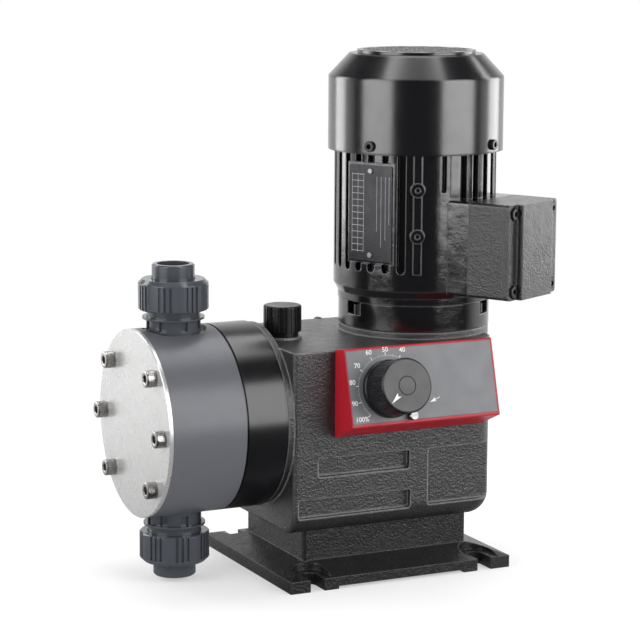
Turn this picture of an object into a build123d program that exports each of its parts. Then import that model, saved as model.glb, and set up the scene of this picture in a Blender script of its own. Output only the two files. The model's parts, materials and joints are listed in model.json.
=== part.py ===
"""Motor-driven diaphragm metering pump, built as an assembly of separate pieces.

Units are millimetres and +Z is up. The origin is the middle of the base's footprint, on the surface
the pump stands on. The stroke axis runs along X with the liquid end towards -X, the stroke dial faces
-Y, and the motor stands upright over the gear housing.
"""

import os
from math import atan, atan2, cos, degrees, pi, radians, sin, sqrt, tan

from build123d import *

LOW = (Align.CENTER, Align.CENTER, Align.MIN)

# ---------------------------------------------------------------- clearances
fit_gap = 0.05  # radial gap of a running or locating fit
free_gap = 0.3  # gap kept between curved faces of different bodies
thread_gap = 0.1  # radial gap between a screw's shank and its tapped hole
bolt_gap = 0.4  # radial gap of a through hole round its screw
seat_gap = 0.1  # gap between flat faces that turn or lift on each other

# ---------------------------------------------------------------- base
base_length = 192.0
base_depth = 164.0
base_edge_top = 9.5
base_roof_top = 16.5
foot_height = 2.2
foot_width = 41.0
pedestal_length = 144.0
pedestal_depth = 106.0
pedestal_top = 40.5
pedestal_corner_radius = 3.0
slot_width = 12.0
slot_spacing_x = 146.4
slot_end_spacing_y = 132.0
slot_spotface_radius = 13.0
pocket_side = 22.0
pocket_pitch = 27.0
pocket_roof = 32.0
tie_screw_radius = 4.0
tie_screw_spacing_x = 120.0
tie_screw_spacing_y = 58.0
tie_screw_rise = 12.0

# ---------------------------------------------------------------- gear housing
housing_left = -87.8
housing_right = 89.5
housing_front = -69.2
housing_back = 69.2
housing_top = 184.0
housing_bottom_radius = 18.0
housing_edge_radius = 3.0
side_wall = 7.5
front_wall = 10.2
cover_thickness = 4.0
cover_screw_radius = 2.5
cover_side_screw_height = 102.0
recess_depth = 5.0
recess_corner = 2.0
recesses = {
    "rail_upper": (-67.0, 12.0, 86.0, 100.5),
    "rail_lower": (-83.5, 13.0, 54.3, 69.0),
    "panel_low": (28.5, 86.5, 55.0, 100.0),
}

# ---------------------------------------------------------------- liquid end
axis_height = 126.0  # stroke axis above the ground
flange_radius = 71.5
flange_left = -93.3
head_radius = 72.7
ring_bore_radius = 48.0
ring_groove_depth = 1.2
ring_groove_width = 1.6
head_back = -128.2
head_front = -188.0
plate_thickness = 3.0
head_bolt_radius = 4.0
head_bolt_head_radius = 6.5
head_bolt_head_height = 8.0
head_bolt_circle = 60.5
head_bolt_angles = (0, 45, 135, 180, 225, 315)
head_bolt_end = -84.0
hex_key_radius = 3.4
hex_key_depth = 4.0
membrane_radius = 54.0
membrane_thickness = 3.8
core_radius = 30.4
chamber_rim_radius = 46.0
chamber_floor_radius = 35.0
chamber_depth = 10.2
gallery_radius = 14.0
port_bore_radius = 6.0

# ---------------------------------------------------------------- valves, distances run from the stroke axis
valve_x = -157.8
spotface_radius = 25.0
spotface_reach = 69.5
valve_tapping_reach = 50.5
valve_stub_radius = 16.0
valve_neck_radius = 21.0
valve_neck_end = 80.0
valve_notch_count = 8
valve_rim_radius = 24.0
valve_rim_thickness = 1.6
valve_thread_radius = 20.7
valve_body_end = 101.0
nut_start = 87.0
nut_end = 110.6
nut_radius = 27.1
nut_chamfer = 3.0
nut_rib_groups = 8
nut_end_wall = 4.5
socket_radius = 16.5
socket_flange_radius = 20.4
socket_end = 122.1
pipe_radius = 12.5
pipe_depth = 19.0
bore_radius = 10.0
ball_radius = 7.5
ball_lift = 3.0
ball_room_radius = 9.0
ball_seat_radius = 6.0
ball_stop_radius = 5.0
discharge_seat_reach = 60.0
suction_seat_reach = 91.0
seal_section_radius = 1.3
seal_circle_radius = 14.2

# ---------------------------------------------------------------- worm gear and stroke drive
motor_x = 50.8
module = 2.0
worm_starts = 2
wheel_teeth = 30
worm_pitch_radius = 8.0
tooth_addendum = 1.8
tooth_dedendum = 2.4
tooth_thickness = 2.7
pressure_angle = 20.0
worm_length = 40.0
wheel_width = 14.0
wheel_hub_radius = 15.0
wheel_web_width = 8.0
wheel_rim_depth = 6.0
drive_shaft_radius = 9.0
eccentric_radius = 22.0
eccentricity = 4.0
eccentric_width = 10.0
eccentric_gap = 2.0
drive_bearing_radius = 16.0
drive_bearing_width = 10.0
drive_boss_radius = 21.0
drive_boss_length = 14.0
stroke = 2 * eccentricity
rod_radius = 7.0
yoke_length = 20.0
yoke_block = 10.0
yoke_height = 24.0
bush_radius = 11.0
boss_radius = 17.0
boss_reach = 26.0
spring_wire_radius = 1.1
spring_circle_radius = 10.2
spring_turns = 5
spring_pocket_radius = 12.5

# ---------------------------------------------------------------- filler and drain
filler_x = -65.5
filler_radius = 14.9
filler_top = 210.0
filler_collar_top = 190.0
filler_collar_radius = 12.6
filler_neck_radius = 15.5
filler_neck_height = 1.8
filler_stub_radius = 9.0
filler_stub_length = 11.0
filler_ribs = 24
drain_radius = 6.0
drain_head_radius = 9.5
drain_head_height = 6.0
drain_height = 58.0
drain_x = -40.0

# ---------------------------------------------------------------- motor, heights above the ground
collar_radius = 60.0
collar_bottom = 180.0
collar_top = 189.2
collar_cone_height = 18.0
motor_flange_radius = 60.4
motor_flange_top = 210.5
motor_spigot_radius = 30.0
motor_spigot_length = 10.0
motor_bolt_circle = 52.0
motor_bolt_angles = (-50, -170, 70)
motor_bolt_radius = 4.0
motor_bolt_head_radius = 6.5
motor_bolt_seat = 200.0
frame_foot_radius = 61.0
frame_radius = 64.5
frame_bore_radius = 52.5
frame_shoulder_bottom = 216.0
frame_shoulder_top = 222.0
frame_top = 330.0
groove_pitch = 11.25
groove_phase = -127.45
groove_width = 6.4
groove_floor_radius = 57.2
groove_bottom = 236.0
rib_angle = -116.2
rib_width = 6.5
rib_height = 2.2
rib_boss_radius = 5.5
rib_boss_heights = (266.0, 302.0)
band_angle = -90.0
band_width = 7.0
nameplate_angle = -152.0
nameplate_offset = 62.0
nameplate_width = 40.0
nameplate_bottom = 244.7
nameplate_top = 319.7
nameplate_thickness = 0.8
nameplate_rivet_spacing = 66.0
shield_radius = 62.0
shield_top = 341.0
shield_lug_width = 14.0
cowl_radius = 69.5
cowl_wall = 1.8
cowl_bottom = 328.5
cowl_shoulder = 386.5
cowl_top = 404.0
cowl_crown_radius = 53.2
cowl_screw_height = 335.0
cowl_screw_angle = -58.4
cowl_screw_radius = 2.0
grille_pitch = 8.0
grille_hole = 5.8
grille_radius = 45.0
grille_height = 2.6
motor_shaft_radius = 8.4
fan_shaft_radius = 6.0
motor_bearing_radius = 17.5
motor_bearing_width = 12.0
rotor_radius = 32.0
core_bottom = 238.0
core_top = 305.0
winding_height = 14.0
fan_radius = 58.0
fan_bottom = 350.0
fan_height = 24.0
fan_blades = 8
worm_bearing_radius = 13.0
worm_bearing_width = 10.0
worm_journal_radius = 6.0

# ---------------------------------------------------------------- terminal box, distances run outward from the motor axis
box_angle = -62.1
box_width = 69.8
box_bottom = 219.8
box_top = 293.6
box_pad_reach = 73.5
box_seam = 104.7
box_lid_reach = 114.8
box_wall = 3.5
box_corner = 2.5
lid_face_width = 46.0
lid_screw_radius = 2.5
lid_screw_inset = 7.0
entry_radius = 9.2
entry_boss_radius = 13.0
entry_boss_height = 4.0
entry_spacing = 28.0

# ---------------------------------------------------------------- stroke dial
dial_left = -53.3
dial_right = 74.5
dial_top_reach = 14.8
dial_bottom_reach = 30.8
dial_top = 187.3
dial_bottom = 129.2
dial_foot = 117.0
dial_back_top = 184.6
dial_wall = 3.0
dial_rim = 3.0
dial_plate_thickness = 1.0
dial_edge_radius = 1.2
knob_x = -19.3
knob_height_on_axis = 155.6
knob_radius = 21.1
knob_length = 30.5
knob_skirt_radius = 22.3
knob_skirt_height = 4.0
knob_gap = 0.6
knob_knurls = 48
knob_knurl_depth = 0.7
knob_cap_radius = 17.5
knob_cap_thickness = 1.2
knob_shaft_radius = 4.0
knob_bush_radius = 7.0
knob_shaft_length = 68.0
limiter_radius = 8.0
limiter_offset = 3.0
limiter_thickness = 6.0
lock_offset_x = 16.0
lock_offset_y = -22.1
lock_head_radius = 3.5
lock_head_height = 3.0
lock_shank_radius = 2.6
lock_rise = 7.0
lock_depth = 8.0

# ---------------------------------------------------------------- worked out from the driving sizes
housing_inner_left = housing_left + side_wall
housing_inner_right = housing_right - side_wall
housing_inner_front = housing_front + front_wall
housing_inner_back = housing_back - cover_thickness
housing_inner_top = housing_top - side_wall
housing_inner_bottom = pedestal_top + side_wall
wheel_pitch_radius = module * wheel_teeth / 2
wheel_x = motor_x - wheel_pitch_radius - worm_pitch_radius
axial_pitch = pi * module
worm_lead = axial_pitch * worm_starts
lead_angle = degrees(atan(worm_lead / (2 * pi * worm_pitch_radius)))
eccentric_inner = wheel_width / 2 + eccentric_gap
eccentric_outer = eccentric_inner + eccentric_width
yoke_pad_x = wheel_x - eccentricity - eccentric_radius - free_gap
yoke_left = yoke_pad_x - yoke_length - yoke_block
boss_right = housing_left + boss_reach
spring_pocket_bottom = boss_right - stroke - 2.0
plate_front = head_front - plate_thickness
motor_axis = Axis((motor_x, 0, 0), (0, 0, 1))
frame_bottom = motor_flange_top
motor_bearing_bottom = collar_top + 3.0
worm_bottom = axis_height - worm_length / 2
worm_bearing_bottom = worm_bottom - 12.0 - worm_bearing_width
dial_tilt = degrees(atan2(dial_bottom_reach - dial_top_reach, dial_top - dial_bottom))
dial_slope = (dial_bottom_reach - dial_top_reach) / (dial_top - dial_bottom)
knob_y = housing_front - dial_top_reach - (dial_top - knob_height_on_axis) * dial_slope
dial_normal = (0, -cos(radians(dial_tilt)), sin(radians(dial_tilt)))
dial_plane = Plane(origin=(knob_x, knob_y, knob_height_on_axis), x_dir=(1, 0, 0), z_dir=dial_normal)


# ---------------------------------------------------------------- shared shapes
def rod_x(x0, x1, radius, y=0.0, z=axis_height):
    """A cylinder along X from x0 to x1."""
    return Pos(x0, y, z) * Rot(0, 90, 0) * Cylinder(radius, x1 - x0, align=LOW)


def rod_y(y0, y1, radius, x, z):
    """A cylinder along Y from y0 to y1."""
    return Pos(x, y0, z) * Rot(-90, 0, 0) * Cylinder(radius, y1 - y0, align=LOW)


def rod_z(z0, z1, radius, x=0.0, y=0.0):
    """A cylinder along Z from z0 to z1."""
    return Pos(x, y, z0) * Cylinder(radius, z1 - z0, align=LOW)


def block(x0, x1, y0, y1, z0, z1):
    """A box between two opposite corners."""
    middle = Pos((x0 + x1) / 2, (y0 + y1) / 2, (z0 + z1) / 2)
    return middle * Box(x1 - x0, y1 - y0, z1 - z0)


def turned(points, x=0.0, y=0.0):
    """A body turned about a vertical axis from (radius, height) points."""
    return Pos(x, y, 0) * revolve(Plane.XZ * make_face(Polyline(*points, close=True)), Axis.Z)


def turned_x(points):
    """A body turned about the stroke axis from (x, radius) points."""
    outline = make_face(Polyline(*[(x, axis_height + r) for x, r in points], close=True))
    return revolve(Plane.XZ * outline, Axis((0, 0, axis_height), (1, 0, 0)))


def around(shape, axis, angles):
    """Copies of a shape turned about an axis by each angle."""
    return [shape.rotate(axis, angle) for angle in angles]


def even(count, start=0.0):
    """Evenly spaced angles round a full turn."""
    return [start + 360.0 * i / count for i in range(count)]


def joined(shapes):
    """One body out of several that overlap."""
    shapes = list(shapes)
    return shapes[0] + shapes[1:]


def stroke_axis():
    """The axis the push rod moves on."""
    return Axis((0, 0, axis_height), (1, 0, 0))


def radial_plane(angle, reach, height):
    """A plane facing outward from the motor axis, with its own Y axis upward."""
    out = (cos(radians(angle)), sin(radians(angle)), 0)
    side = (-sin(radians(angle)), cos(radians(angle)), 0)
    origin = (motor_x + reach * out[0], reach * out[1], height)
    return Plane(origin=origin, x_dir=side, z_dir=out)


def cap_screw(length, radius, head_radius, head_height):
    """A socket-head cap screw with its shank along -Z and its seat at the origin."""
    screw = Cylinder(head_radius, head_height, align=LOW)
    screw = chamfer(screw.edges().group_by(Axis.Z)[-1], head_radius * 0.08)
    screw += Pos(0, 0, -length) * Cylinder(radius, length, align=LOW)
    key = extrude(RegularPolygon(hex_key_radius * head_radius / head_bolt_head_radius, 6), hex_key_depth)
    return screw - Pos(0, 0, head_height - hex_key_depth) * key


def ring_bearing(inner, outer, width):
    """A ball bearing as one turned ring with its shield grooves."""
    shield = (outer - inner) * 0.28
    ring = Cylinder(outer, width, align=LOW) - Cylinder(inner, width, align=LOW)
    middle = (inner + outer) / 2
    groove = Cylinder(middle + shield / 2, 0.8, align=LOW) - Cylinder(middle - shield / 2, 0.8, align=LOW)
    return ring - groove - Pos(0, 0, width - 0.8) * groove


# ---------------------------------------------------------------- base
def slot_places():
    """The four corners that hold an open-ended mounting slot, as (x, y, side)."""
    half_x = slot_spacing_x / 2
    half_y = slot_end_spacing_y / 2
    return [(sx * half_x, sy * half_y, sy) for sx in (-1, 1) for sy in (-1, 1)]


def base_plate():
    """The cast base: feet, slotted plate with a sloped top, and the pedestal."""
    plate = block(-base_length / 2, base_length / 2, -base_depth / 2, base_depth / 2, foot_height, base_edge_top)
    low = Plane.XY.offset(base_edge_top) * Rectangle(base_length, base_depth)
    high = Plane.XY.offset(base_roof_top) * Rectangle(pedestal_length, pedestal_depth)
    roof = loft([low.face(), high.face()], ruled=True)
    pedestal = Box(pedestal_length, pedestal_depth, pedestal_top - base_edge_top)
    pedestal = fillet(pedestal.edges().filter_by(Axis.Z), pedestal_corner_radius)
    body = plate + roof + Pos(0, 0, (pedestal_top + base_edge_top) / 2) * pedestal
    for side in (-1, 1):
        middle = side * (base_length - foot_width) / 2
        foot = Box(foot_width, base_depth, foot_height + 1, align=LOW)
        body += Pos(middle, 0, 0) * foot
    body += Box(base_length - foot_width, pedestal_depth, foot_height + 1, align=LOW)
    for x, y, side in slot_places():
        edge = side * base_depth / 2
        reach = abs(edge - y) + 1
        centre_y = y + side * reach / 2
        slot = Pos(x, centre_y, 0) * Box(slot_width, reach, base_roof_top * 2)
        slot += Pos(x, y, 0) * Cylinder(slot_width / 2, base_roof_top * 2)
        spot = Pos(x, y, base_edge_top) * Cylinder(slot_spotface_radius, base_roof_top, align=LOW)
        spot += Pos(x, centre_y, base_edge_top) * Box(2 * slot_spotface_radius, reach, base_roof_top, align=LOW)
        body = body - slot - spot
    pockets = GridLocations(pocket_pitch, pocket_pitch, 4, 3)
    body -= pockets * Box(pocket_side, pocket_side, 2 * pocket_roof)
    for x, y in tie_screw_places():
        body -= Pos(x, y, 0) * Cylinder(tie_screw_radius + bolt_gap, 3 * pedestal_top)
        body -= Pos(x, y, 0) * Cylinder(head_bolt_head_radius + bolt_gap, 2 * (pedestal_top - tie_screw_rise))
    return body


def tie_screw_places():
    """Places of the screws that hold the housing on its pedestal."""
    half_x = tie_screw_spacing_x / 2
    half_y = tie_screw_spacing_y / 2
    return [(sx * half_x, sy * half_y) for sx in (-1, 1) for sy in (-1, 1)]


def base_tie_screws():
    """The four screws that come up through the pedestal into the housing floor."""
    seat = pedestal_top - tie_screw_rise
    screw = cap_screw(tie_screw_rise + side_wall - 1, tie_screw_radius, head_bolt_head_radius, 8.0)
    return joined(Pos(x, y, seat) * Rot(180, 0, 0) * screw for x, y in tie_screw_places())


# ---------------------------------------------------------------- gear housing
def housing_outline(inset=0.0):
    """The housing's outline seen from the front, with its rounded lower right corner."""
    x0 = housing_left + inset
    x1 = housing_right - inset
    z0 = pedestal_top + inset
    z1 = housing_top - inset
    corner = max(housing_bottom_radius - inset, 1.0)
    outline = Pos((x0 + x1) / 2, (z0 + z1) / 2) * Rectangle(x1 - x0, z1 - z0)
    low_right = outline.vertices().group_by(Axis.Y)[0].sort_by(Axis.X)[-1]
    return Plane.XZ * fillet(low_right, corner)


def cover_screw_places():
    """Places of the rear cover's screws, as (x, z)."""
    inset = side_wall / 2
    xs = (housing_left + inset, (housing_left + housing_right) / 2, housing_right - inset)
    places = [(x, housing_top - inset) for x in xs]
    places += [(x, pedestal_top + inset) for x in xs[:2]]
    places += [(x, cover_side_screw_height) for x in (xs[0], xs[2])]
    corner_inset = housing_bottom_radius - (housing_bottom_radius - inset) * sin(radians(45))
    return places + [(housing_right - corner_inset, pedestal_top + corner_inset)]


def bearing_bracket():
    """The bracket on the right wall that carries the worm's lower bearing."""
    bottom = worm_bearing_bottom - 4.0
    top = worm_bearing_bottom + worm_bearing_width
    left = motor_x - worm_bearing_radius - 3.5
    arm = block(left, housing_right - 1, -worm_bearing_radius - 3.5, worm_bearing_radius + 3.5, bottom, top)
    arm -= rod_z(worm_bearing_bottom, top, worm_bearing_radius + fit_gap, motor_x)
    return arm - rod_z(bottom, top, worm_bearing_radius - 4.0, motor_x)


def gear_housing():
    """The cast gear housing, open at the back, with the round flange that takes the liquid end."""
    shell = extrude(housing_outline(), amount=-housing_front)
    shell += extrude(housing_outline(), amount=-housing_inner_back)
    front_low = shell.edges().filter_by(Axis.X).group_by(Axis.Y)[0].sort_by(Axis.Z)[0]
    front_sides = shell.edges().filter_by(Axis.Z).group_by(Axis.Y)[0]
    shell = fillet(front_low, housing_bottom_radius)
    front_sides = shell.edges().filter_by(Axis.Z).group_by(Axis.Y)[0]
    shell = fillet(front_sides, housing_edge_radius)
    shell += rod_x(flange_left, housing_left, flange_radius)
    collar = rod_z(collar_bottom, collar_top, collar_radius, motor_x)
    cone_low = collar_bottom - collar_cone_height
    cone = Pos(motor_x, 0, cone_low) * Cone(collar_radius - collar_cone_height, collar_radius, collar_cone_height,
                                            align=LOW)
    shell += collar + cone
    inside = extrude(housing_outline(side_wall), amount=-housing_inner_front)
    inside += extrude(housing_outline(side_wall), amount=-housing_inner_back)
    shell -= inside
    for x0, x1, z0, z1 in recesses.values():
        pocket = block(x0, x1, housing_front - 1, housing_front + recess_depth, z0, z1)
        shell -= fillet(pocket.edges().filter_by(Axis.Y), recess_corner)
    shell += rod_x(housing_left + 1, boss_right, boss_radius)
    shell -= rod_x(flange_left - 1, boss_right + 1, bush_radius + fit_gap)
    shell -= rod_x(spring_pocket_bottom, boss_right + 1, spring_pocket_radius)
    boss_end = housing_inner_front + drive_boss_length
    shell += rod_y(housing_inner_front - 1, boss_end, drive_boss_radius, wheel_x, axis_height)
    pocket_end = boss_end - drive_bearing_width
    shell -= rod_y(pocket_end, boss_end + 1, drive_bearing_radius + fit_gap, wheel_x, axis_height)
    shell += bearing_bracket()
    shell -= rod_z(housing_inner_top - 1, collar_top + 1, motor_spigot_radius + fit_gap, motor_x)
    shell += rod_z(housing_top - 1, housing_top + filler_neck_height, filler_neck_radius, filler_x)
    shell -= rod_z(housing_inner_top - 1, housing_top + 5, filler_stub_radius + free_gap, filler_x)
    for angle in head_bolt_angles:
        y = head_bolt_circle * cos(radians(angle))
        z = axis_height + head_bolt_circle * sin(radians(angle))
        shell -= rod_x(flange_left - 1, head_bolt_end + 1, head_bolt_radius + thread_gap, y, z)
    for angle in motor_bolt_angles:
        x = motor_x + motor_bolt_circle * cos(radians(angle))
        y = motor_bolt_circle * sin(radians(angle))
        shell -= rod_z(housing_inner_top + 1, collar_top + 1, motor_bolt_radius + thread_gap, x, y)
    for x, y in tie_screw_places():
        shell -= rod_z(pedestal_top - 1, pedestal_top + side_wall - 0.5, tie_screw_radius + thread_gap, x, y)
    for x, z in cover_screw_places():
        shell -= rod_y(housing_inner_back - 12, housing_inner_back + 1, cover_screw_radius + thread_gap, x, z)
    hole_length = 2 * (dial_bottom_reach + front_wall)
    shell -= dial_plane * Pos(0, 0, -hole_length) * Cylinder(knob_bush_radius + fit_gap, hole_length, align=LOW)
    return shell


def rear_cover():
    """The cover plate on the back of the housing, with the boss of the rear bearing inside."""
    plate = extrude(housing_outline(), amount=-housing_back) - extrude(housing_outline(), amount=-housing_inner_back)
    rim = plate.faces().sort_by(Axis.Y)[-1].edges()
    plate = chamfer(rim, 1.2)
    boss_start = housing_inner_back - drive_boss_length
    plate += rod_y(boss_start, housing_inner_back + 1, drive_boss_radius, wheel_x, axis_height)
    bearing_end = boss_start + drive_bearing_width
    plate -= rod_y(boss_start - 1, bearing_end, drive_bearing_radius + fit_gap, wheel_x, axis_height)
    for x, z in cover_screw_places():
        plate -= rod_y(housing_inner_back - 1, housing_back + 1, cover_screw_radius + bolt_gap, x, z)
    drain_hole = drain_radius + thread_gap
    return plate - rod_y(housing_inner_back - 1, housing_back + 1, drain_hole, drain_x, drain_height)


def cover_screws():
    """The screws round the rear cover."""
    screw = cap_screw(cover_thickness + 10, cover_screw_radius, 4.3, 5.0)
    places = cover_screw_places()
    return joined(Pos(x, housing_back, z) * Rot(-90, 0, 0) * screw for x, z in places)


def drain_plug():
    """The oil drain plug, screwed into the rear cover low down."""
    head = extrude(RegularPolygon(drain_head_radius, 6), drain_head_height)
    head &= Cylinder(drain_head_radius * 0.97, 2 * drain_head_height)
    plug = head + Pos(0, 0, -cover_thickness) * Cylinder(drain_radius, cover_thickness, align=LOW)
    return Pos(drain_x, housing_back, drain_height) * Rot(-90, 0, 0) * plug


# ---------------------------------------------------------------- liquid end
def intermediate_ring():
    """The ring between the gear housing and the dosing head."""
    ring = rod_x(head_back, flange_left, head_radius) - rod_x(head_back, flange_left, ring_bore_radius)
    for x in (head_back, flange_left - ring_groove_width):
        ring -= rod_x(x, x + ring_groove_width, head_radius + 1) - rod_x(
            x, x + ring_groove_width, head_radius - ring_groove_depth)
    return ring - head_bolt_holes()


def head_bolt_holes():
    """The through holes of the head bolts, over the whole liquid end."""
    holes = []
    for angle in head_bolt_angles:
        y = head_bolt_circle * cos(radians(angle))
        z = axis_height + head_bolt_circle * sin(radians(angle))
        holes.append(rod_x(plate_front - 1, flange_left + 1, head_bolt_radius + bolt_gap, y, z))
    return joined(holes)


def dosing_head():
    """The plastic dosing head with its pump chamber, gallery and two valve ports."""
    head = rod_x(head_front, head_back, head_radius)
    chamber_top = head_back - membrane_thickness
    chamber_floor = chamber_top - chamber_depth
    head -= turned_x([
        (head_back + 1, 0), (head_back + 1, membrane_radius + fit_gap), (chamber_top, membrane_radius + fit_gap),
        (chamber_top, chamber_rim_radius), (chamber_floor, chamber_floor_radius), (chamber_floor, 0),
    ])
    head -= rod_x(valve_x - port_bore_radius - 2, chamber_floor + 1, gallery_radius)
    for side in (-1, 1):
        turn = Pos(valve_x, 0, axis_height) * Rot(90 - 90 * side, 0, 0)
        head -= turn * Cylinder(port_bore_radius, valve_tapping_reach + 1, align=LOW)
        tapping = Cylinder(valve_stub_radius + thread_gap, head_radius, align=LOW)
        head -= turn * Pos(0, 0, valve_tapping_reach) * tapping
        head -= turn * Pos(0, 0, spotface_reach) * Cylinder(spotface_radius, head_radius, align=LOW)
    return head - head_bolt_holes()


def front_plate():
    """The steel plate that spreads the load of the head bolts."""
    plate = rod_x(plate_front, head_front, head_radius)
    plate = chamfer(plate.edges().group_by(Axis.X)[0], 0.6)
    return plate - head_bolt_holes()


def head_bolts():
    """The six long socket-head screws that clamp the head, the ring and the membrane."""
    screw = cap_screw(head_bolt_end - plate_front, head_bolt_radius, head_bolt_head_radius, head_bolt_head_height)
    bolt = Pos(plate_front, head_bolt_circle, axis_height) * Rot(0, -90, 0) * screw
    return joined(around(bolt, stroke_axis(), head_bolt_angles))


def membrane():
    """The clamped outer part of the diaphragm, with its rolling fold."""
    inner = core_radius + free_gap
    fold = (ring_bore_radius + inner) / 2
    front = head_back - membrane_thickness
    return turned_x([
        (front, inner), (front, fold - 4), (front + 1.2, fold), (front, fold + 4), (front, membrane_radius),
        (head_back, membrane_radius), (head_back, fold + 4), (head_back + 1.2, fold), (head_back, fold - 4),
        (head_back, inner),
    ])


def membrane_core():
    """The moulded middle of the diaphragm with its support disc, screwed on the push rod."""
    front = head_back - membrane_thickness
    return turned_x([
        (front, 0), (front, core_radius - 2), (front + 1.5, core_radius), (head_back + 5, core_radius),
        (head_back + 9, rod_radius + 5), (head_back + 16, rod_radius + 5), (head_back + 16, 0),
    ]) - rod_x(head_back + 2, head_back + 17, rod_radius + fit_gap)


# ---------------------------------------------------------------- valves
def placed_valve(shape, side):
    """Moves a shape built outward along +Z from the stroke axis to the upper or lower port."""
    return Pos(valve_x, 0, axis_height) * Rot(90 - 90 * side, 0, 0) * shape


def valve_body(seat_reach, side):
    """A screwed-in valve body with its ball seat; the flow runs upward through both valves."""
    neck = Pos(0, 0, spotface_reach) * Cylinder(valve_neck_radius, valve_neck_end - spotface_reach, align=LOW)
    notch = Pos(valve_neck_radius, 0, spotface_reach + 2.5) * Box(
        4.4, 6.0, valve_neck_end - spotface_reach, align=LOW)
    neck -= around(notch, Axis.Z, even(valve_notch_count))
    body = neck
    body += Pos(0, 0, valve_tapping_reach) * Cylinder(
        valve_stub_radius, spotface_reach - valve_tapping_reach, align=LOW)
    body += Pos(0, 0, valve_neck_end) * Cylinder(valve_rim_radius, valve_rim_thickness, align=LOW)
    body += Pos(0, 0, valve_neck_end) * Cylinder(
        valve_thread_radius, valve_body_end - valve_neck_end, align=LOW)
    room = sqrt(ball_radius**2 - ball_seat_radius**2) + ball_lift
    room += sqrt(ball_radius**2 - ball_stop_radius**2) + 2 * free_gap
    stop_reach = seat_reach + side * room
    low = min(seat_reach, stop_reach)
    body -= Pos(0, 0, low) * Cylinder(ball_room_radius, room, align=LOW)
    through = valve_body_end - valve_tapping_reach
    body -= Pos(0, 0, valve_tapping_reach) * Cylinder(ball_stop_radius, through, align=LOW)
    seat_from = valve_tapping_reach if side > 0 else seat_reach
    seat_to = seat_reach if side > 0 else valve_body_end
    body -= Pos(0, 0, seat_from) * Cylinder(ball_seat_radius, seat_to - seat_from, align=LOW)
    slots_from = stop_reach if side > 0 else valve_tapping_reach
    slots_to = valve_body_end if side > 0 else stop_reach
    slot = Pos(0, 0, slots_from) * Box(2 * ball_room_radius, 3.0, slots_to - slots_from, align=LOW)
    body = body - slot - slot.rotate(Axis.Z, 90)
    half = seal_section_radius + fit_gap
    groove = Cylinder(seal_circle_radius + half, 2 * half, align=LOW)
    groove -= Cylinder(seal_circle_radius - half, 2 * half, align=LOW)
    body -= Pos(0, 0, valve_body_end - 2 * half) * groove
    return placed_valve(body, side)


def valve_ball(seat_reach, side):
    """The ceramic ball, resting just above its seat."""
    rest = sqrt(ball_radius**2 - ball_seat_radius**2) + free_gap
    return placed_valve(Pos(0, 0, seat_reach + side * rest) * Sphere(ball_radius), side)


def valve_seal(side):
    """The O-ring between the valve body and the pipe socket, set in its groove."""
    seal = Torus(seal_circle_radius, seal_section_radius)
    return placed_valve(Pos(0, 0, valve_body_end - seal_section_radius - fit_gap) * seal, side)


def union_nut(side):
    """The ribbed union nut that holds the pipe socket."""
    nut = turned([
        (valve_thread_radius + 0.4, nut_start), (nut_radius - 1.0, nut_start), (nut_radius, nut_start + 1.0),
        (nut_radius, nut_end - nut_chamfer), (nut_radius - nut_chamfer, nut_end), (socket_radius + 0.5, nut_end),
        (socket_radius + 0.5, nut_end - nut_end_wall), (valve_thread_radius + 0.4, nut_end - nut_end_wall),
    ])
    rib_step = 360.0 / nut_rib_groups / 5
    groove = Pos(nut_radius, 0, nut_start - 1) * Box(2.4, 2.2, nut_end - nut_start - nut_chamfer, align=LOW)
    angles = [start + rib_step * i for start in even(nut_rib_groups) for i in range(3)]
    return placed_valve(nut - around(groove, Axis.Z, angles), side)


def pipe_socket(side):
    """The socket that takes the pipe, with the collar the union nut pulls on."""
    collar_end = nut_end - nut_end_wall - seat_gap
    socket = turned([
        (bore_radius, valve_body_end), (socket_flange_radius, valve_body_end), (socket_flange_radius, collar_end),
        (socket_radius, collar_end), (socket_radius, socket_end - 1.0), (socket_radius - 1.0, socket_end),
        (pipe_radius, socket_end), (pipe_radius, socket_end - pipe_depth),
        (bore_radius, socket_end - pipe_depth),
    ])
    return placed_valve(socket, side)


# ---------------------------------------------------------------- worm gear and stroke drive
def worm_thread():
    """The double-start worm, as threads wound on the motor shaft."""
    root = worm_pitch_radius - tooth_dedendum
    slope = tan(radians(pressure_angle))
    root_half = tooth_thickness / 2 + tooth_dedendum * slope
    tip_half = tooth_thickness / 2 - tooth_addendum * slope
    turns = 2 * int(worm_length / worm_lead / 2 + 2)
    start_z = -turns / 2 * worm_lead
    helix = Helix(worm_lead, turns * worm_lead, root, center=(0, 0, start_z))
    height = tooth_addendum + tooth_dedendum
    sunk = 0.4
    profile = Plane((root, 0, start_z), x_dir=(1, 0, 0), z_dir=(0, 1, 0)) * make_face(Polyline(
        (-sunk, -root_half - sunk * slope), (height, -tip_half), (height, tip_half),
        (-sunk, root_half + sunk * slope), close=True))
    thread = sweep(profile, path=helix, is_frenet=True)
    threads = [thread.rotate(Axis.Z, angle) for angle in even(worm_starts)]
    limit = Cylinder(worm_pitch_radius + tooth_addendum + 1, worm_length)
    core = Cylinder(root, worm_length)
    worm = core
    for one in threads:
        worm += one & limit
    return Pos(motor_x, 0, axis_height) * worm


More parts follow.
